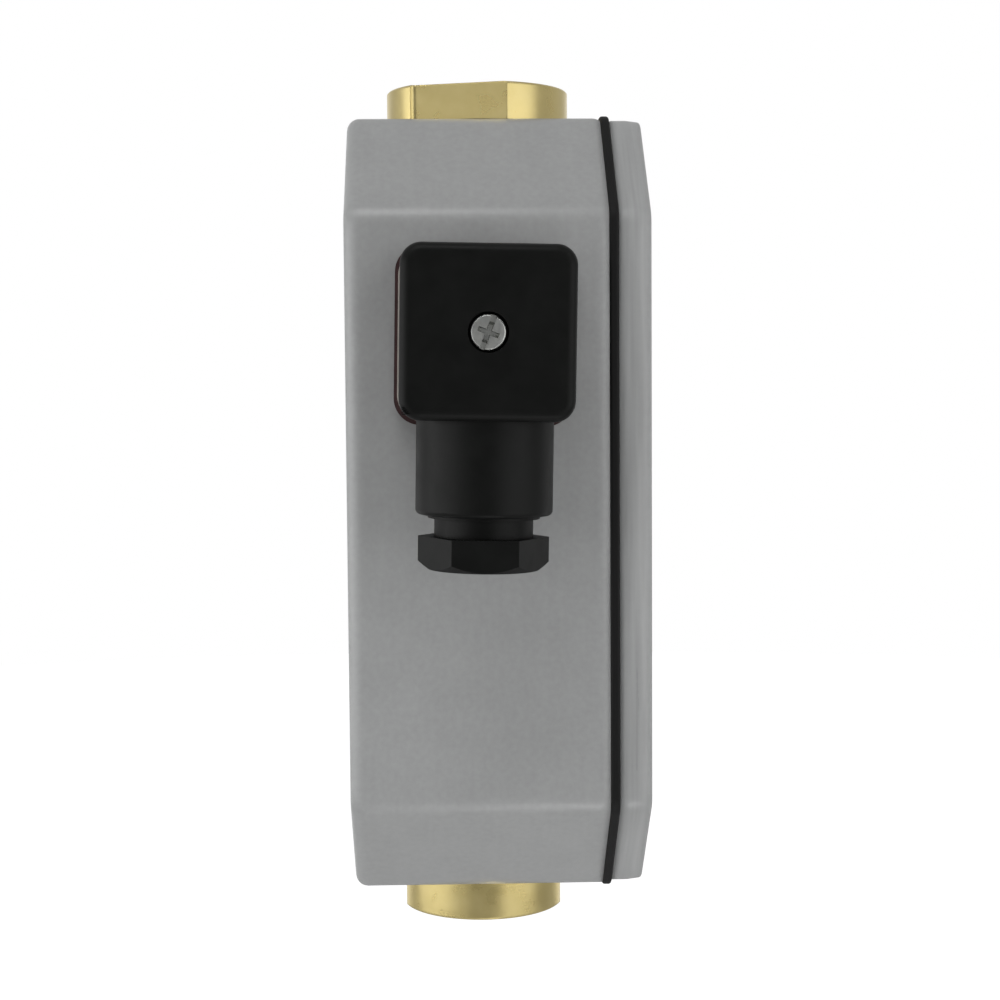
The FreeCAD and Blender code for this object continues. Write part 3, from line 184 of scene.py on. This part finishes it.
def makeWorld():
    # white behind the part; as light it is bright behind the part and dim on the camera's side
    world = bpy.data.worlds.new("studioRoom")
    bpy.context.scene.world = world
    world.use_nodes = True
    tree = world.node_tree
    tree.nodes.clear()
    way = addNode(tree, "ShaderNodeTexCoord").outputs["Generated"]
    along = addNode(tree, "ShaderNodeSeparateXYZ", {"Vector": way}).outputs["X"]
    level = addNode(tree, "ShaderNodeMapRange",
                    {"Value": along, "From Min": studio["dimTo"], "From Max": studio["brightFrom"],
                     "To Min": studio["dimLevel"], "To Max": studio["brightLevel"]},
                    interpolation_type="SMOOTHSTEP")
    white = linearColour("#ffffff")
    room = addNode(tree, "ShaderNodeBackground",
                   {"Color": white, "Strength": level.outputs["Result"]})
    seen = addNode(tree, "ShaderNodeBackground", {"Color": white, "Strength": 1.0})
    mix = addNode(tree, "ShaderNodeMixShader",
                  {0: whiteRays(tree, along), 1: room.outputs[0], 2: seen.outputs[0]})
    addNode(tree, "ShaderNodeOutputWorld", {"Surface": mix.outputs[0]})


def makeFloor():
    # white paper that shows white to the camera and keeps a faint shadow
    bm = bmesh.new()
    bmesh.ops.create_circle(bm, cap_ends=True, segments=studio["floorSides"],
                            radius=studio["floorRadius"] * mm)
    bmesh.ops.translate(bm, verts=bm.verts, vec=(0, 0, studio["floorHeight"] * mm))
    mesh = bpy.data.meshes.new("paperFloor")
    bm.to_mesh(mesh)
    bm.free()
    floor = bpy.data.objects.new("paperFloor", mesh)
    bpy.context.scene.collection.objects.link(floor)
    material, tree, place = startMaterial("mattWhitePaper")
    along = addNode(tree, "ShaderNodeSeparateXYZ", {"Vector": place}).outputs["X"]
    lift = addNode(tree, "ShaderNodeMath", {0: whiteRays(tree, along), 1: studio["floorLift"]},
                   operation="MULTIPLY")
    endMaterial(tree, {"Base Color": linearColour(studio["paper"]),
                       "Roughness": studio["paperRoughness"],
                       "Emission Color": linearColour("#ffffff"),
                       "Emission Strength": lift.outputs[0]})
    mesh.materials.append(material)


makeLamps()
makeWorld()
makeFloor()
bpy.context.scene.view_settings.view_transform = "Standard"
print("studio lit:", len(lamps), "panels")


# Materials

noiseSpan = {"From Min": 0.3, "From Max": 0.7}  # where nearly all of a noise texture's values lie


def betweenTones(tree, pattern, dark, light):
    # a colour that wanders between two tones with a noise pattern
    share = addNode(tree, "ShaderNodeMapRange", {"Value": pattern, **noiseSpan})
    return addNode(tree, "ShaderNodeMix",
                   {0: share.outputs["Result"], 6: linearColour(dark), 7: linearColour(light)},
                   data_type="RGBA").outputs[2]


enamel = {
    "cloudWidth": 7.0,  # mm
    "grainWidth": 1.1,
    "grainShare": 0.6,  # how much the grain counts against the clouds
    "runWidth": 1.2,
    "runStretch": 0.045,  # a run's pattern along the outline, against 1 across it
    "runsFrom": 0.2,  # mm behind the lid's front, where the runs set in
    "runsFullAt": 1.6,
    "peelWidth": 0.8,
    "peelDepth": 0.008,
    "edgeRadius": 3.0,  # what the thick coat makes of the casting's edges
    "edgeSamples": 6,
    "roughness": (0.27, 0.35),
    "ior": 1.5,
}


def stoveEnamel(name, dark, light, clouds, runs):
    # Stove enamel on a die casting: sprayed and baked, so satin and faintly clouded, with a fine
    # orange peel. Round its sides it also has slight runs along the outline, drawn as soft streaks.
    material, tree, place = startMaterial(name)
    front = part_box("lid")[0].y
    depth = addNode(tree, "ShaderNodeSeparateXYZ", {"Vector": place}).outputs["Y"]
    sides = addNode(tree, "ShaderNodeMapRange",
                    {"Value": depth, "From Min": front + enamel["runsFrom"] * mm,
                     "From Max": front + enamel["runsFullAt"] * mm, "To Max": runs})
    cloud = addNode(tree, "ShaderNodeTexNoise",
                    {"Vector": place, "Scale": perMetre(enamel["cloudWidth"]), "Detail": 4.0})
    grain = addNode(tree, "ShaderNodeTexNoise",
                    {"Vector": place, "Scale": perMetre(enamel["grainWidth"]), "Detail": 3.0})
    uneven = addNode(tree, "ShaderNodeMix",
                     {0: enamel["grainShare"], 2: cloud.outputs["Fac"], 3: grain.outputs["Fac"]})
    faint = addNode(tree, "ShaderNodeMapRange",
                    {"Value": uneven.outputs[0], **noiseSpan,
                     "To Min": 0.5 - clouds, "To Max": 0.5 + clouds})
    stretch = addNode(tree, "ShaderNodeMapping",
                      {"Vector": place, "Scale": (enamel["runStretch"], 1.0, enamel["runStretch"])})
    streak = addNode(tree, "ShaderNodeTexNoise",
                     {"Vector": stretch.outputs[0], "Scale": perMetre(enamel["runWidth"]),
                      "Detail": 2.0})
    blend = addNode(tree, "ShaderNodeMix", {0: sides.outputs["Result"], 2: faint.outputs["Result"],
                                            3: streak.outputs["Fac"]}).outputs[0]
    low, high = enamel["roughness"]
    gloss = addNode(tree, "ShaderNodeMapRange",
                    {"Value": blend, **noiseSpan, "To Min": low, "To Max": high})
    peel = addNode(tree, "ShaderNodeTexNoise",
                   {"Vector": place, "Scale": perMetre(enamel["peelWidth"]), "Detail": 2.0})
    rounded = addNode(tree, "ShaderNodeBevel", {"Radius": enamel["edgeRadius"] * mm},
                      samples=enamel["edgeSamples"])
    bump = addNode(tree, "ShaderNodeBump",
                   {"Height": peel.outputs["Fac"], "Distance": enamel["peelDepth"] * mm,
                    "Normal": rounded.outputs["Normal"]})
    endMaterial(tree, {"Base Color": betweenTones(tree, blend, dark, light),
                       "Roughness": gloss.outputs["Result"], "IOR": enamel["ior"],
                       "Normal": bump.outputs["Normal"]})
    return material


brassBar = {
    "tones": ("#cfbd80", "#d7c68b"),
    "ringWidth": 0.35,  # mm, coarser than the tool's feed, so that it shows
    "ringDepth": 0.006,
    "stainWidth": 4.0,
    "edgeRadius": 0.4,
    "edgeSamples": 4,
    "roughness": (0.25, 0.34),
}


def turnedBrass(name):
    # Free-cutting brass, turned on a lathe: bright, with fine rings round the axis and faint stains
    material, tree, place = startMaterial(name)
    parts = addNode(tree, "ShaderNodeSeparateXYZ", {"Vector": place})
    flat = addNode(tree, "ShaderNodeCombineXYZ",
                   {"X": parts.outputs["X"], "Y": parts.outputs["Y"]})
    reach = addNode(tree, "ShaderNodeVectorMath", {0: flat.outputs[0]}, operation="LENGTH")
    rings = addNode(tree, "ShaderNodeCombineXYZ",
                    {"X": reach.outputs["Value"], "Z": parts.outputs["Z"]})
    lines = addNode(tree, "ShaderNodeTexNoise",
                    {"Vector": rings.outputs[0], "Scale": perMetre(brassBar["ringWidth"]),
                     "Detail": 2.0})
    stain = addNode(tree, "ShaderNodeTexNoise",
                    {"Vector": place, "Scale": perMetre(brassBar["stainWidth"]),
                     "Detail": 4.0}).outputs["Fac"]
    low, high = brassBar["roughness"]
    gloss = addNode(tree, "ShaderNodeMapRange",
                    {"Value": stain, **noiseSpan, "To Min": low, "To Max": high})
    rounded = addNode(tree, "ShaderNodeBevel", {"Radius": brassBar["edgeRadius"] * mm},
                      samples=brassBar["edgeSamples"])
    bump = addNode(tree, "ShaderNodeBump",
                   {"Height": lines.outputs["Fac"], "Distance": brassBar["ringDepth"] * mm,
                    "Normal": rounded.outputs["Normal"]})
    endMaterial(tree, {"Base Color": betweenTones(tree, stain, *brassBar["tones"]),
                       "Metallic": 1.0, "Roughness": gloss.outputs["Result"],
                       "Normal": bump.outputs["Normal"]})
    return material


sheetMetal = {
    "toneWidth": 5,  # times the grain
    "grainDepth": 0.004,  # mm
    "smoother": 0.05,  # how far the roughness wanders down and up
    "rougher": 0.07,
}


def plainMetal(name, dark, light, roughness, grain):
    # Rolled, plated or drawn metal: a fine grain in the gloss and a slight change of tone
    material, tree, place = startMaterial(name)
    fine = addNode(tree, "ShaderNodeTexNoise",
                   {"Vector": place, "Scale": perMetre(grain), "Detail": 3.0}).outputs["Fac"]
    tone = addNode(tree, "ShaderNodeTexNoise",
                   {"Vector": place, "Scale": perMetre(grain * sheetMetal["toneWidth"]),
                    "Detail": 3.0})
    gloss = addNode(tree, "ShaderNodeMapRange",
                    {"Value": fine, **noiseSpan, "To Min": roughness - sheetMetal["smoother"],
                     "To Max": roughness + sheetMetal["rougher"]})
    bump = addNode(tree, "ShaderNodeBump",
                   {"Height": fine, "Distance": sheetMetal["grainDepth"] * mm})
    endMaterial(tree, {"Base Color": betweenTones(tree, tone.outputs["Fac"], dark, light),
                       "Metallic": 1.0, "Roughness": gloss.outputs["Result"],
                       "Normal": bump.outputs["Normal"]})
    return material


mouldSkin = {
    "toneWidth": 4.0,  # mm
    "unevenGloss": 0.04,  # how far the roughness wanders either way
    "edgeRadius": 0.12,
    "edgeSamples": 4,
}


def mouldedSkin(name, dark, light, roughness, grain, depth, shine=0.5):
    # Moulded plastic or rubber, or a lacquer: an even fine grain, and a slight unevenness of tone
    material, tree, place = startMaterial(name)
    fine = addNode(tree, "ShaderNodeTexNoise",
                   {"Vector": place, "Scale": perMetre(grain), "Detail": 2.0})
    tone = addNode(tree, "ShaderNodeTexNoise",
                   {"Vector": place, "Scale": perMetre(mouldSkin["toneWidth"]),
                    "Detail": 3.0}).outputs["Fac"]
    gloss = addNode(tree, "ShaderNodeMapRange",
                    {"Value": tone, **noiseSpan, "To Min": roughness - mouldSkin["unevenGloss"],
                     "To Max": roughness + mouldSkin["unevenGloss"]})
    rounded = addNode(tree, "ShaderNodeBevel", {"Radius": mouldSkin["edgeRadius"] * mm},
                      samples=mouldSkin["edgeSamples"])
    bump = addNode(tree, "ShaderNodeBump",
                   {"Height": fine.outputs["Fac"], "Distance": depth * mm,
                    "Normal": rounded.outputs["Normal"]})
    endMaterial(tree, {"Base Color": betweenTones(tree, tone, dark, light),
                       "Specular IOR Level": shine, "Roughness": gloss.outputs["Result"],
                       "Normal": bump.outputs["Normal"]})
    return material


windowSheet = {
    "tint": "#f2f6f5",
    "wipeWidth": 9.0,  # mm, of the marks that wiping leaves
    "haze": (0.02, 0.07),
    "ior": 1.45,
}


def clearPane(name):
    # Polycarbonate sheet, polished flat: clear straight through, glossier the flatter the view.
    # Only its outer faces mirror, so it stays clear from every side.
    material, tree, place = startMaterial(name)
    wipe = addNode(tree, "ShaderNodeTexNoise",
                   {"Vector": place, "Scale": perMetre(windowSheet["wipeWidth"]), "Detail": 4.0})
    low, high = windowSheet["haze"]
    haze = addNode(tree, "ShaderNodeMapRange",
                   {"Value": wipe.outputs["Fac"], **noiseSpan, "To Min": low, "To Max": high})
    clear = addNode(tree, "ShaderNodeBsdfTransparent",
                    {"Color": linearColour(windowSheet["tint"])})
    gloss = addNode(tree, "ShaderNodeBsdfGlossy",
                    {"Color": linearColour("#ffffff"), "Roughness": haze.outputs["Result"]})
    edgeOn = addNode(tree, "ShaderNodeFresnel", {"IOR": windowSheet["ior"]})
    inside = addNode(tree, "ShaderNodeNewGeometry").outputs["Backfacing"]
    outside = addNode(tree, "ShaderNodeMath", {0: 1.0, 1: inside}, operation="SUBTRACT")
    share = addNode(tree, "ShaderNodeMath", {0: edgeOn.outputs[0], 1: outside.outputs[0]},
                    operation="MULTIPLY")
    mix = addNode(tree, "ShaderNodeMixShader",
                  {0: share.outputs[0], 1: clear.outputs[0], 2: gloss.outputs[0]})
    addNode(tree, "ShaderNodeOutputMaterial", {"Surface": mix.outputs[0]})
    return material


# grain and depth are in mm

finishes = {
    "grey_paint": stoveEnamel("stoveEnamelGrey", "#939494", "#a0a1a1", clouds=0.16, runs=0.12),
    "brass": turnedBrass("turnedBrass"),
    # glass-filled nylon from a spark-eroded mould: deep black, hardly any shine
    "black_plastic": mouldedSkin("mouldedNylonBlack", "#090a09", "#0d0e0d", roughness=0.46,
                                 grain=0.35, depth=0.008, shine=0.13),
    "base_plastic": mouldedSkin("mouldedNylonBrown", "#2a1112", "#331618", roughness=0.45,
                                grain=0.4, depth=0.008),
    "insert_plastic": mouldedSkin("mouldedNylonGrey", "#6f7270", "#7a7d7b", roughness=0.45,
                                  grain=0.4, depth=0.008),
    # rubber straight from the mould: dull, with a soft skin
    "black_rubber": mouldedSkin("nitrileRubberBlack", "#0c0c0c", "#101010", roughness=0.6,
                                grain=0.5, depth=0.01, shine=0.2),
    "grey_rubber": mouldedSkin("siliconeRubberGrey", "#a49e97", "#b1aba3", roughness=0.6,
                               grain=0.5, depth=0.01, shine=0.35),
    # bright zinc on pressed and turned steel: pale, with a slight bloom
    "zinc_steel": plainMetal("zincPlatedSteel", "#a8aaa8", "#babbb7", roughness=0.37, grain=0.4),
    "stainless": plainMetal("rolledStainless", "#a5a3a0", "#b5b4b1", roughness=0.32, grain=0.3),
    "spring_steel": plainMetal("drawnSpringSteel", "#8c8b88", "#9d9c99", roughness=0.3,
                               grain=0.3),
    # pressed and fired ferrite: dark, dull and slightly grainy
    "magnet": mouldedSkin("sinteredFerrite", "#2b2a2a", "#353434", roughness=0.6, grain=0.25,
                          depth=0.01),
    "white_acetal": mouldedSkin("machinedAcetalWhite", "#cfcdc5", "#d9d7cf", roughness=0.4,
                                grain=0.4, depth=0.006),
    "pane": clearPane("polishedPolycarbonate"),
    # lacquers on sheet metal: smooth and even
    "scale_paint": mouldedSkin("lacqueredScaleWhite", "#d4d5d1", "#dadbd7", roughness=0.42,
                               grain=0.6, depth=0.003),
    "red_paint": mouldedSkin("lacquerRed", "#a81f1c", "#b42522", roughness=0.35, grain=0.5,
                             depth=0.004),
    "black_paint": mouldedSkin("lacquerBlack", "#161616", "#1c1c1c", roughness=0.38, grain=0.5,
                               depth=0.004),
    "lead_sheath": mouldedSkin("vinylSheathGrey", "#4c5054", "#565a5e", roughness=0.5, grain=0.4,
                               depth=0.008),
}
lidEnamel = stoveEnamel("stoveEnamelLid", "#959696", "#a8a9a9", clouds=0.09, runs=0.75)

for name, node in nodes.items():
    for slot in node.material_slots:
        slotName = slot.material.name.split(".")[0]
        slot.material = lidEnamel if name == "lid" else finishes[slotName]
print("materials:", len(finishes) + 1)


# New pieces

sharpestSmooth = 32  # degrees, the steepest edge that is still shaded as a curve


def mergedCopy(name):
    # a copy of a solid's mesh with its loose triangles joined, ready to be reshaped
    bm = bmesh.new()
    bm.from_mesh(nodes[name].data)
    bmesh.ops.remove_doubles(bm, verts=bm.verts, dist=weldReach)
    return bm


def finishPiece(bm, name, slotName, body, replaced=()):
    bmesh.ops.recalc_face_normals(bm, faces=bm.faces)
    for face in bm.faces:
        face.smooth = True
    for edge in bm.edges:
        if len(edge.link_faces) == 2 and edge.calc_face_angle(0) > math.radians(sharpestSmooth):
            edge.smooth = False
    mesh = bpy.data.meshes.new(name)
    bm.to_mesh(mesh)
    bm.free()
    mesh.materials.append(finishes[slotName])
    piece = bpy.data.objects.new(name, mesh)
    bpy.context.scene.collection.objects.link(piece)
    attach(piece, body)
    if replaced:
        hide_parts(*replaced)
    print("made", name, len(mesh.polygons), "faces")


def onlyVerts(parts):
    return [part for part in parts if isinstance(part, bmesh.types.BMVert)]


def cutAcross(bm, place, way, clearPast=False):
    # new edges where a plane crosses the mesh; clearPast drops what lies past it
    bmesh.ops.bisect_plane(bm, geom=bm.verts[:] + bm.edges[:] + bm.faces[:], dist=cutReach,
                           plane_co=place, plane_no=way, clear_outer=clearPast)


def drawOn(bm, ring, steps):
    # pulls a tube on from its open edge through steps of radius and height about the Z axis
    for radius, height in steps:
        verts = onlyVerts(bmesh.ops.extrude_edge_only(bm, edges=ring)["geom"])
        grown = set(verts)
        ring = [edge for edge in bm.edges if edge.is_boundary and grown.issuperset(edge.verts)]
        for vert in verts:
            share = radius / max(vert.co.xy.length, 1e-9)
            vert.co = (vert.co.x * share, vert.co.y * share, height)
    return ring


# Pipe body: the solid's own mesh, its two ports opened for their threads

pipe = {
    "boreRadius": 9.3,  # mm, the ports' bore before the thread is cut
    "boreSlack": 0.05,  # how far off that radius a point of the bore may be
    "threadRoot": 10.45,
    "sleeveRadius": 10.9,
    "portDepth": 15.0,
    "depthSlack": 0.01,
    "pitch": 1.81,
    "crestShare": 0.14,  # of the pitch, the flat on a crest or a root
    "mouth": 0.7,  # depth of the countersink
    "stepsPerTurn": 48,
}


def makePipeBody():
    bm = mergedCopy("flow_body")
    low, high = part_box("flow_body")
    depth = (pipe["portDepth"] + pipe["depthSlack"]) * mm
    share = pipe["sleeveRadius"] / pipe["boreRadius"]
    for vert in bm.verts:
        atPort = vert.co.z < low.z + depth or vert.co.z > high.z - depth
        if atPort and abs(vert.co.xy.length - pipe["boreRadius"] * mm) < pipe["boreSlack"] * mm:
            vert.co.xy *= share
    finishPiece(bm, "pipe_body", "brass", "root", ["flow_body"])


def makePortThread(name, atTop):
    # a real helix: one pitch of the profile is spun with a lead, then trimmed square at both ends
    depth = pipe["portDepth"] * mm
    pitch = pipe["pitch"] * mm
    crest = pipe["boreRadius"] * mm
    root = pipe["threadRoot"] * mm
    outer = pipe["sleeveRadius"] * mm
    mouth = pipe["mouth"] * mm
    flat = pipe["crestShare"] * pitch
    turns = math.ceil(depth / pitch) + 2
    bm = bmesh.new()
    outline = [(root, 0), (root, flat), (crest, pitch / 2), (crest, pitch / 2 + flat),
               (root, pitch)]
    verts = [bmesh.ops.create_vert(bm, co=(radius, 0, height - pitch))["vert"][0]
             for radius, height in outline]
    edges = [bm.edges.new(pair) for pair in zip(verts, verts[1:])]
    bmesh.ops.spin(bm, geom=verts + edges, cent=(0, 0, 0), axis=(0, 0, 1),
                   dvec=(0, 0, pitch / pipe["stepsPerTurn"]), angle=math.tau * turns,
                   steps=pipe["stepsPerTurn"] * turns)
    bmesh.ops.remove_doubles(bm, verts=bm.verts, dist=hair)
    cutAcross(bm, (0, 0, mouth), (0, 0, -1), clearPast=True)
    cutAcross(bm, (0, 0, depth), (0, 0, 1), clearPast=True)
    openEdges = [edge for edge in bm.edges if edge.is_boundary]
    mouthRing = [edge for edge in openEdges if edge.verts[0].co.z < depth / 2]
    endRing = [edge for edge in openEdges if edge.verts[0].co.z > depth / 2]
    mouthRing = drawOn(bm, mouthRing, [(root, mouth), (outer, 0)])
    endRing = drawOn(bm, endRing, [(outer, depth)])
    bmesh.ops.bridge_loops(bm, edges=mouthRing + endRing)
    if atTop:
        bmesh.ops.rotate(bm, verts=bm.verts, cent=(0, 0, 0),
                         matrix=Matrix.Rotation(math.pi, 3, "X"))
        bmesh.ops.translate(bm, verts=bm.verts, vec=(0, 0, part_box("flow_body")[1].z))
    finishPiece(bm, name, "brass", "root")


makePipeBody()
makePortThread("inlet_thread", False)
makePortThread("outlet_thread", True)


# Plug screw: slot and cross recess in its head, thread on its shank

plugScrew = {
    "edge": 0.35,  # mm
    "edgeSteps": 4,
    "slotWidth": 0.9,
    "slotDepth": 0.75,
    "crossWidth": 0.8,
    "crossReach": 1.75,
    "crossDepth": 0.6,  # below the slot
    "crossDraft": 0.72,  # how far the recess narrows to its floor
    "headHeight": 2.4,
    "shankRadius": 1.5,
    "threadDepth": 0.3,
    "pitch": 0.5,
    "threadLength": 9.0,
    "turn": 111.2,  # degrees from level, as the slot stands in the picture
    "segments": 96,
    "rimFrom": 0.98,  # of the face's radius, from where a point is on its rim
}


def plugScrewSteps(radius, faceRadius, length):
    # the outline from the face's rim down the head and the threaded shank, as radius and height
    edge = plugScrew["edge"] * mm
    steps = []
    for index in range(1, plugScrew["edgeSteps"] + 1):
        angle = math.radians(90 * index / plugScrew["edgeSteps"])
        steps.append((faceRadius + edge * math.sin(angle), -edge * (1 - math.cos(angle))))
    head = -plugScrew["headHeight"] * mm
    shank = plugScrew["shankRadius"] * mm
    root = shank - plugScrew["threadDepth"] * mm
    pitch = plugScrew["pitch"] * mm
    height = -length + plugScrew["threadLength"] * mm
    steps += [(radius, head), (shank, head), (shank, height)]
    for turn in range(int(plugScrew["threadLength"] / plugScrew["pitch"]) - 1):
        steps.append((root, height - pitch / 2))
        height -= pitch
        steps.append((shank, height))
    return steps + [(root, -length)]


def makePlugScrew():
    low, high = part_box("plug_screw")
    radius = (high.y - low.y) / 2
    faceRadius = radius - plugScrew["edge"] * mm
    rimFrom = faceRadius * plugScrew["rimFrom"]
    bm = bmesh.new()
    bmesh.ops.create_circle(bm, cap_ends=True, segments=plugScrew["segments"], radius=faceRadius)
    slot = plugScrew["slotWidth"] * mm / 2
    arm = plugScrew["crossWidth"] * mm / 2
    reach = plugScrew["crossReach"] * mm
    for way, distance in (((0, 1, 0), slot), ((1, 0, 0), arm), ((1, 0, 0), reach),
                          ((0, 1, 0), reach)):
        for side in (-1, 1):
            cutAcross(bm, Vector(way) * distance * side, way)
    inSlot = [face for face in bm.faces if abs(face.calc_center_median().y) < slot]
    inArms = [face for face in bm.faces
              if face not in inSlot and abs(face.calc_center_median().x) < arm
              and abs(face.calc_center_median().y) < reach]
    slotFloor = -plugScrew["slotDepth"] * mm
    sunk = bmesh.ops.extrude_face_region(bm, geom=inSlot + inArms)["geom"]
    bmesh.ops.translate(bm, vec=(0, 0, slotFloor), verts=onlyVerts(sunk))
    cross = [part for part in sunk if isinstance(part, bmesh.types.BMFace)
             and abs(part.calc_center_median().x) < reach]
    deep = onlyVerts(bmesh.ops.extrude_face_region(bm, geom=cross)["geom"])
    bmesh.ops.translate(bm, vec=(0, 0, -plugScrew["crossDepth"] * mm), verts=deep)
    draft = plugScrew["crossDraft"]
    bmesh.ops.scale(bm, vec=(draft, draft, 1), verts=deep)
    bmesh.ops.delete(bm, geom=inSlot + inArms + cross, context="FACES_ONLY")

    rim = [edge for edge in bm.edges if edge.is_boundary and edge.verts[0].co.xy.length > rimFrom]
    last = drawOn(bm, rim, plugScrewSteps(radius, faceRadius, high.x - low.x))
    bmesh.ops.contextual_create(bm, geom=last)
    for vert in bm.verts:  # opens the slot's two ends through the rim
        atRim = vert.co.xy.length > rimFrom and abs(vert.co.y) < slot - hair
        if atRim and vert.co.z > slotFloor:
            vert.co.z = slotFloor
    bmesh.ops.remove_doubles(bm, verts=bm.verts, dist=weldReach)
    toPlug = Matrix(((0, 0, -1), (1, 0, 0), (0, -1, 0)))  # its face looks along -X, as the plug's
    turn = Matrix.Rotation(math.radians(plugScrew["turn"]), 3, "X")
    bmesh.ops.rotate(bm, verts=bm.verts, cent=(0, 0, 0), matrix=turn @ toPlug)
    bmesh.ops.translate(bm, verts=bm.verts,
                        vec=(low.x, (low.y + high.y) / 2, (low.z + high.z) / 2))
    finishPiece(bm, "slotted_plug_screw", "zinc_steel", "plug_screw", ["plug_screw"])


makePlugScrew()


# Grip ribs at the plug's lower corner

gripRibs = {
    "count": 4,
    "size": (0.9, 1.25, 0.17),  # mm, along X, Y and Z
    "first": (-69.72, 13.12, 97.05),
    "pitch": 0.34,
    "edge": 0.05,
    "edgeSteps": 2,
}


def makeGripRibs():
    bm = bmesh.new()
    for index in range(gripRibs["count"]):
        made = bmesh.ops.create_cube(bm, size=mm)["verts"]
        bmesh.ops.scale(bm, vec=gripRibs["size"], verts=made)
        place = Vector(gripRibs["first"]) + Vector((0, 0, gripRibs["pitch"] * index))
        bmesh.ops.translate(bm, vec=place * mm, verts=made)
    bmesh.ops.bevel(bm, geom=bm.edges[:], affect="EDGES", offset=gripRibs["edge"] * mm,
                    segments=gripRibs["edgeSteps"], profile=0.5, material=-1)
    finishPiece(bm, "plug_grip_ribs", "black_plastic", "plug")


makeGripRibs()


# Lid gasket: pressed rubber, so its lip isn't quite straight

lidGasket = {
    "cutEvery": 3.5,  # mm, between the rings of points that let the lip wave
    "longWave": 26.0,
    "longDepth": 0.16,
    "shortWave": 6.0,
    "shortDepth": 0.07,
    "lean": 0.5,  # of a wave's depth, by which the lip is pressed in on the whole
    "lipFrom": -0.5,  # mm past the casing's outline, from where the rubber counts as lip
    "chamfer": 19.5,  # measured in from a corner along X and Z together
}


def isOnChamfer(point, low, high):
    # the casing's corners are cut at 45 degrees
    middle = (low + high) / 2
    half = (high - low) / 2
    reach = abs(point.x - middle.x) + abs(point.z - middle.z)
    return reach > half.x + half.z - lidGasket["chamfer"] * mm


def lipWave(point):
    wave = 0
    for size in ("long", "short"):
        swing = noise.noise(point / (lidGasket[size + "Wave"] * mm)) - lidGasket["lean"]
        wave += swing * lidGasket[size + "Depth"]
    return wave * mm


def makeLidGasket():
    bm = mergedCopy("lid_gasket")
    low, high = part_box("lid_gasket")
    for axis in (0, 2):
        way = Vector((0, 0, 0))
        way[axis] = 1
        place = low[axis] + lidGasket["cutEvery"] * mm
        while place < high[axis]:
            cutAcross(bm, way * place, way)
            place += lidGasket["cutEvery"] * mm
    casingLow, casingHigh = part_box("housing_base")
    for vert in bm.verts:
        past = max(vert.co.x - casingHigh.x, casingLow.x - vert.co.x,
                   vert.co.z - casingHigh.z, casingLow.z - vert.co.z)
        if past < lidGasket["lipFrom"] * mm and not isOnChamfer(vert.co, casingLow, casingHigh):
            continue
        outward = Vector((vert.co.x, 0, vert.co.z - (low.z + high.z) / 2)).normalized()
        vert.co += outward * lipWave(vert.co)
    finishPiece(bm, "pressed_lid_gasket", "black_rubber", "root", ["lid_gasket"])


makeLidGasket()


# Scale: lines and plain numbers printed beside the two slots

scale = {
    "raise": 0.05,  # mm, how thick the ink is drawn
    "lineWidth": 0.28,
    "majorFrom": -12.7,
    "majorTo": -9.4,
    "minorTo": -10.9,
    "units": 10,
    "unitStep": 4.0,
    "numberEvery": 2,  # units
    "numberHeight": 2.6,
    "numberX": -14.8,
    "setFrom": 4.7,  # the lines that the set point is read on
    "setTo": 7.6,
    "setStep": 2.0,
    "setLines": 11,
    "setMajorEvery": 5,  # lines
    "setMinorCut": 0.9,
}


def addLine(bm, x0, x1, z, front):
    made = bmesh.ops.create_cube(bm, size=mm)["verts"]
    bmesh.ops.scale(bm, vec=(x1 - x0, scale["raise"], scale["lineWidth"]), verts=made)
    bmesh.ops.translate(bm, verts=made,
                        vec=Vector(((x0 + x1) / 2 * mm, front - scale["raise"] * mm / 2, z)))


def addNumber(bm, text, x, z, front):
    data = bpy.data.curves.new("scaleNumber", "FONT")
    data.body = text
    data.size = scale["numberHeight"] * mm
    data.extrude = scale["raise"] * mm / 2
    data.align_x = "CENTER"
    data.align_y = "CENTER"
    maker = bpy.data.objects.new("scaleNumber", data)
    bpy.context.scene.collection.objects.link(maker)
    bpy.context.view_layer.update()
    shaped = maker.evaluated_get(bpy.context.evaluated_depsgraph_get())
    mesh = bpy.data.meshes.new_from_object(shaped)
    bpy.data.objects.remove(maker)
    place = Matrix.Translation((x * mm, front - scale["raise"] * mm / 2, z))
    mesh.transform(place @ Matrix.Rotation(math.pi / 2, 4, "X"))
    bm.from_mesh(mesh)
    bpy.data.meshes.remove(mesh)


def makeScaleMarks():
    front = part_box("scale_plate")[0].y
    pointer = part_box("flow_pointer")
    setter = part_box("setpoint_pointer")
    zero = (pointer[0].z + pointer[1].z) / 2
    middle = (setter[0].z + setter[1].z) / 2
    bm = bmesh.new()
    for half in range(2 * scale["units"] + 1):
        z = zero + half * scale["unitStep"] * mm / 2
        addLine(bm, scale["majorFrom"], scale["minorTo"] if half % 2 else scale["majorTo"], z,
                front)
        if half % (2 * scale["numberEvery"]) == 0:
            addNumber(bm, str(half // 2), scale["numberX"], z, front)
    for index in range(scale["setLines"]):
        offset = (index - scale["setLines"] // 2) * scale["setStep"] * mm
        shorter = scale["setMinorCut"] if index % scale["setMajorEvery"] else 0
        addLine(bm, scale["setFrom"] + shorter, scale["setTo"], middle + offset, front)
    finishPiece(bm, "scale_marks", "black_paint", "root")


makeScaleMarks()
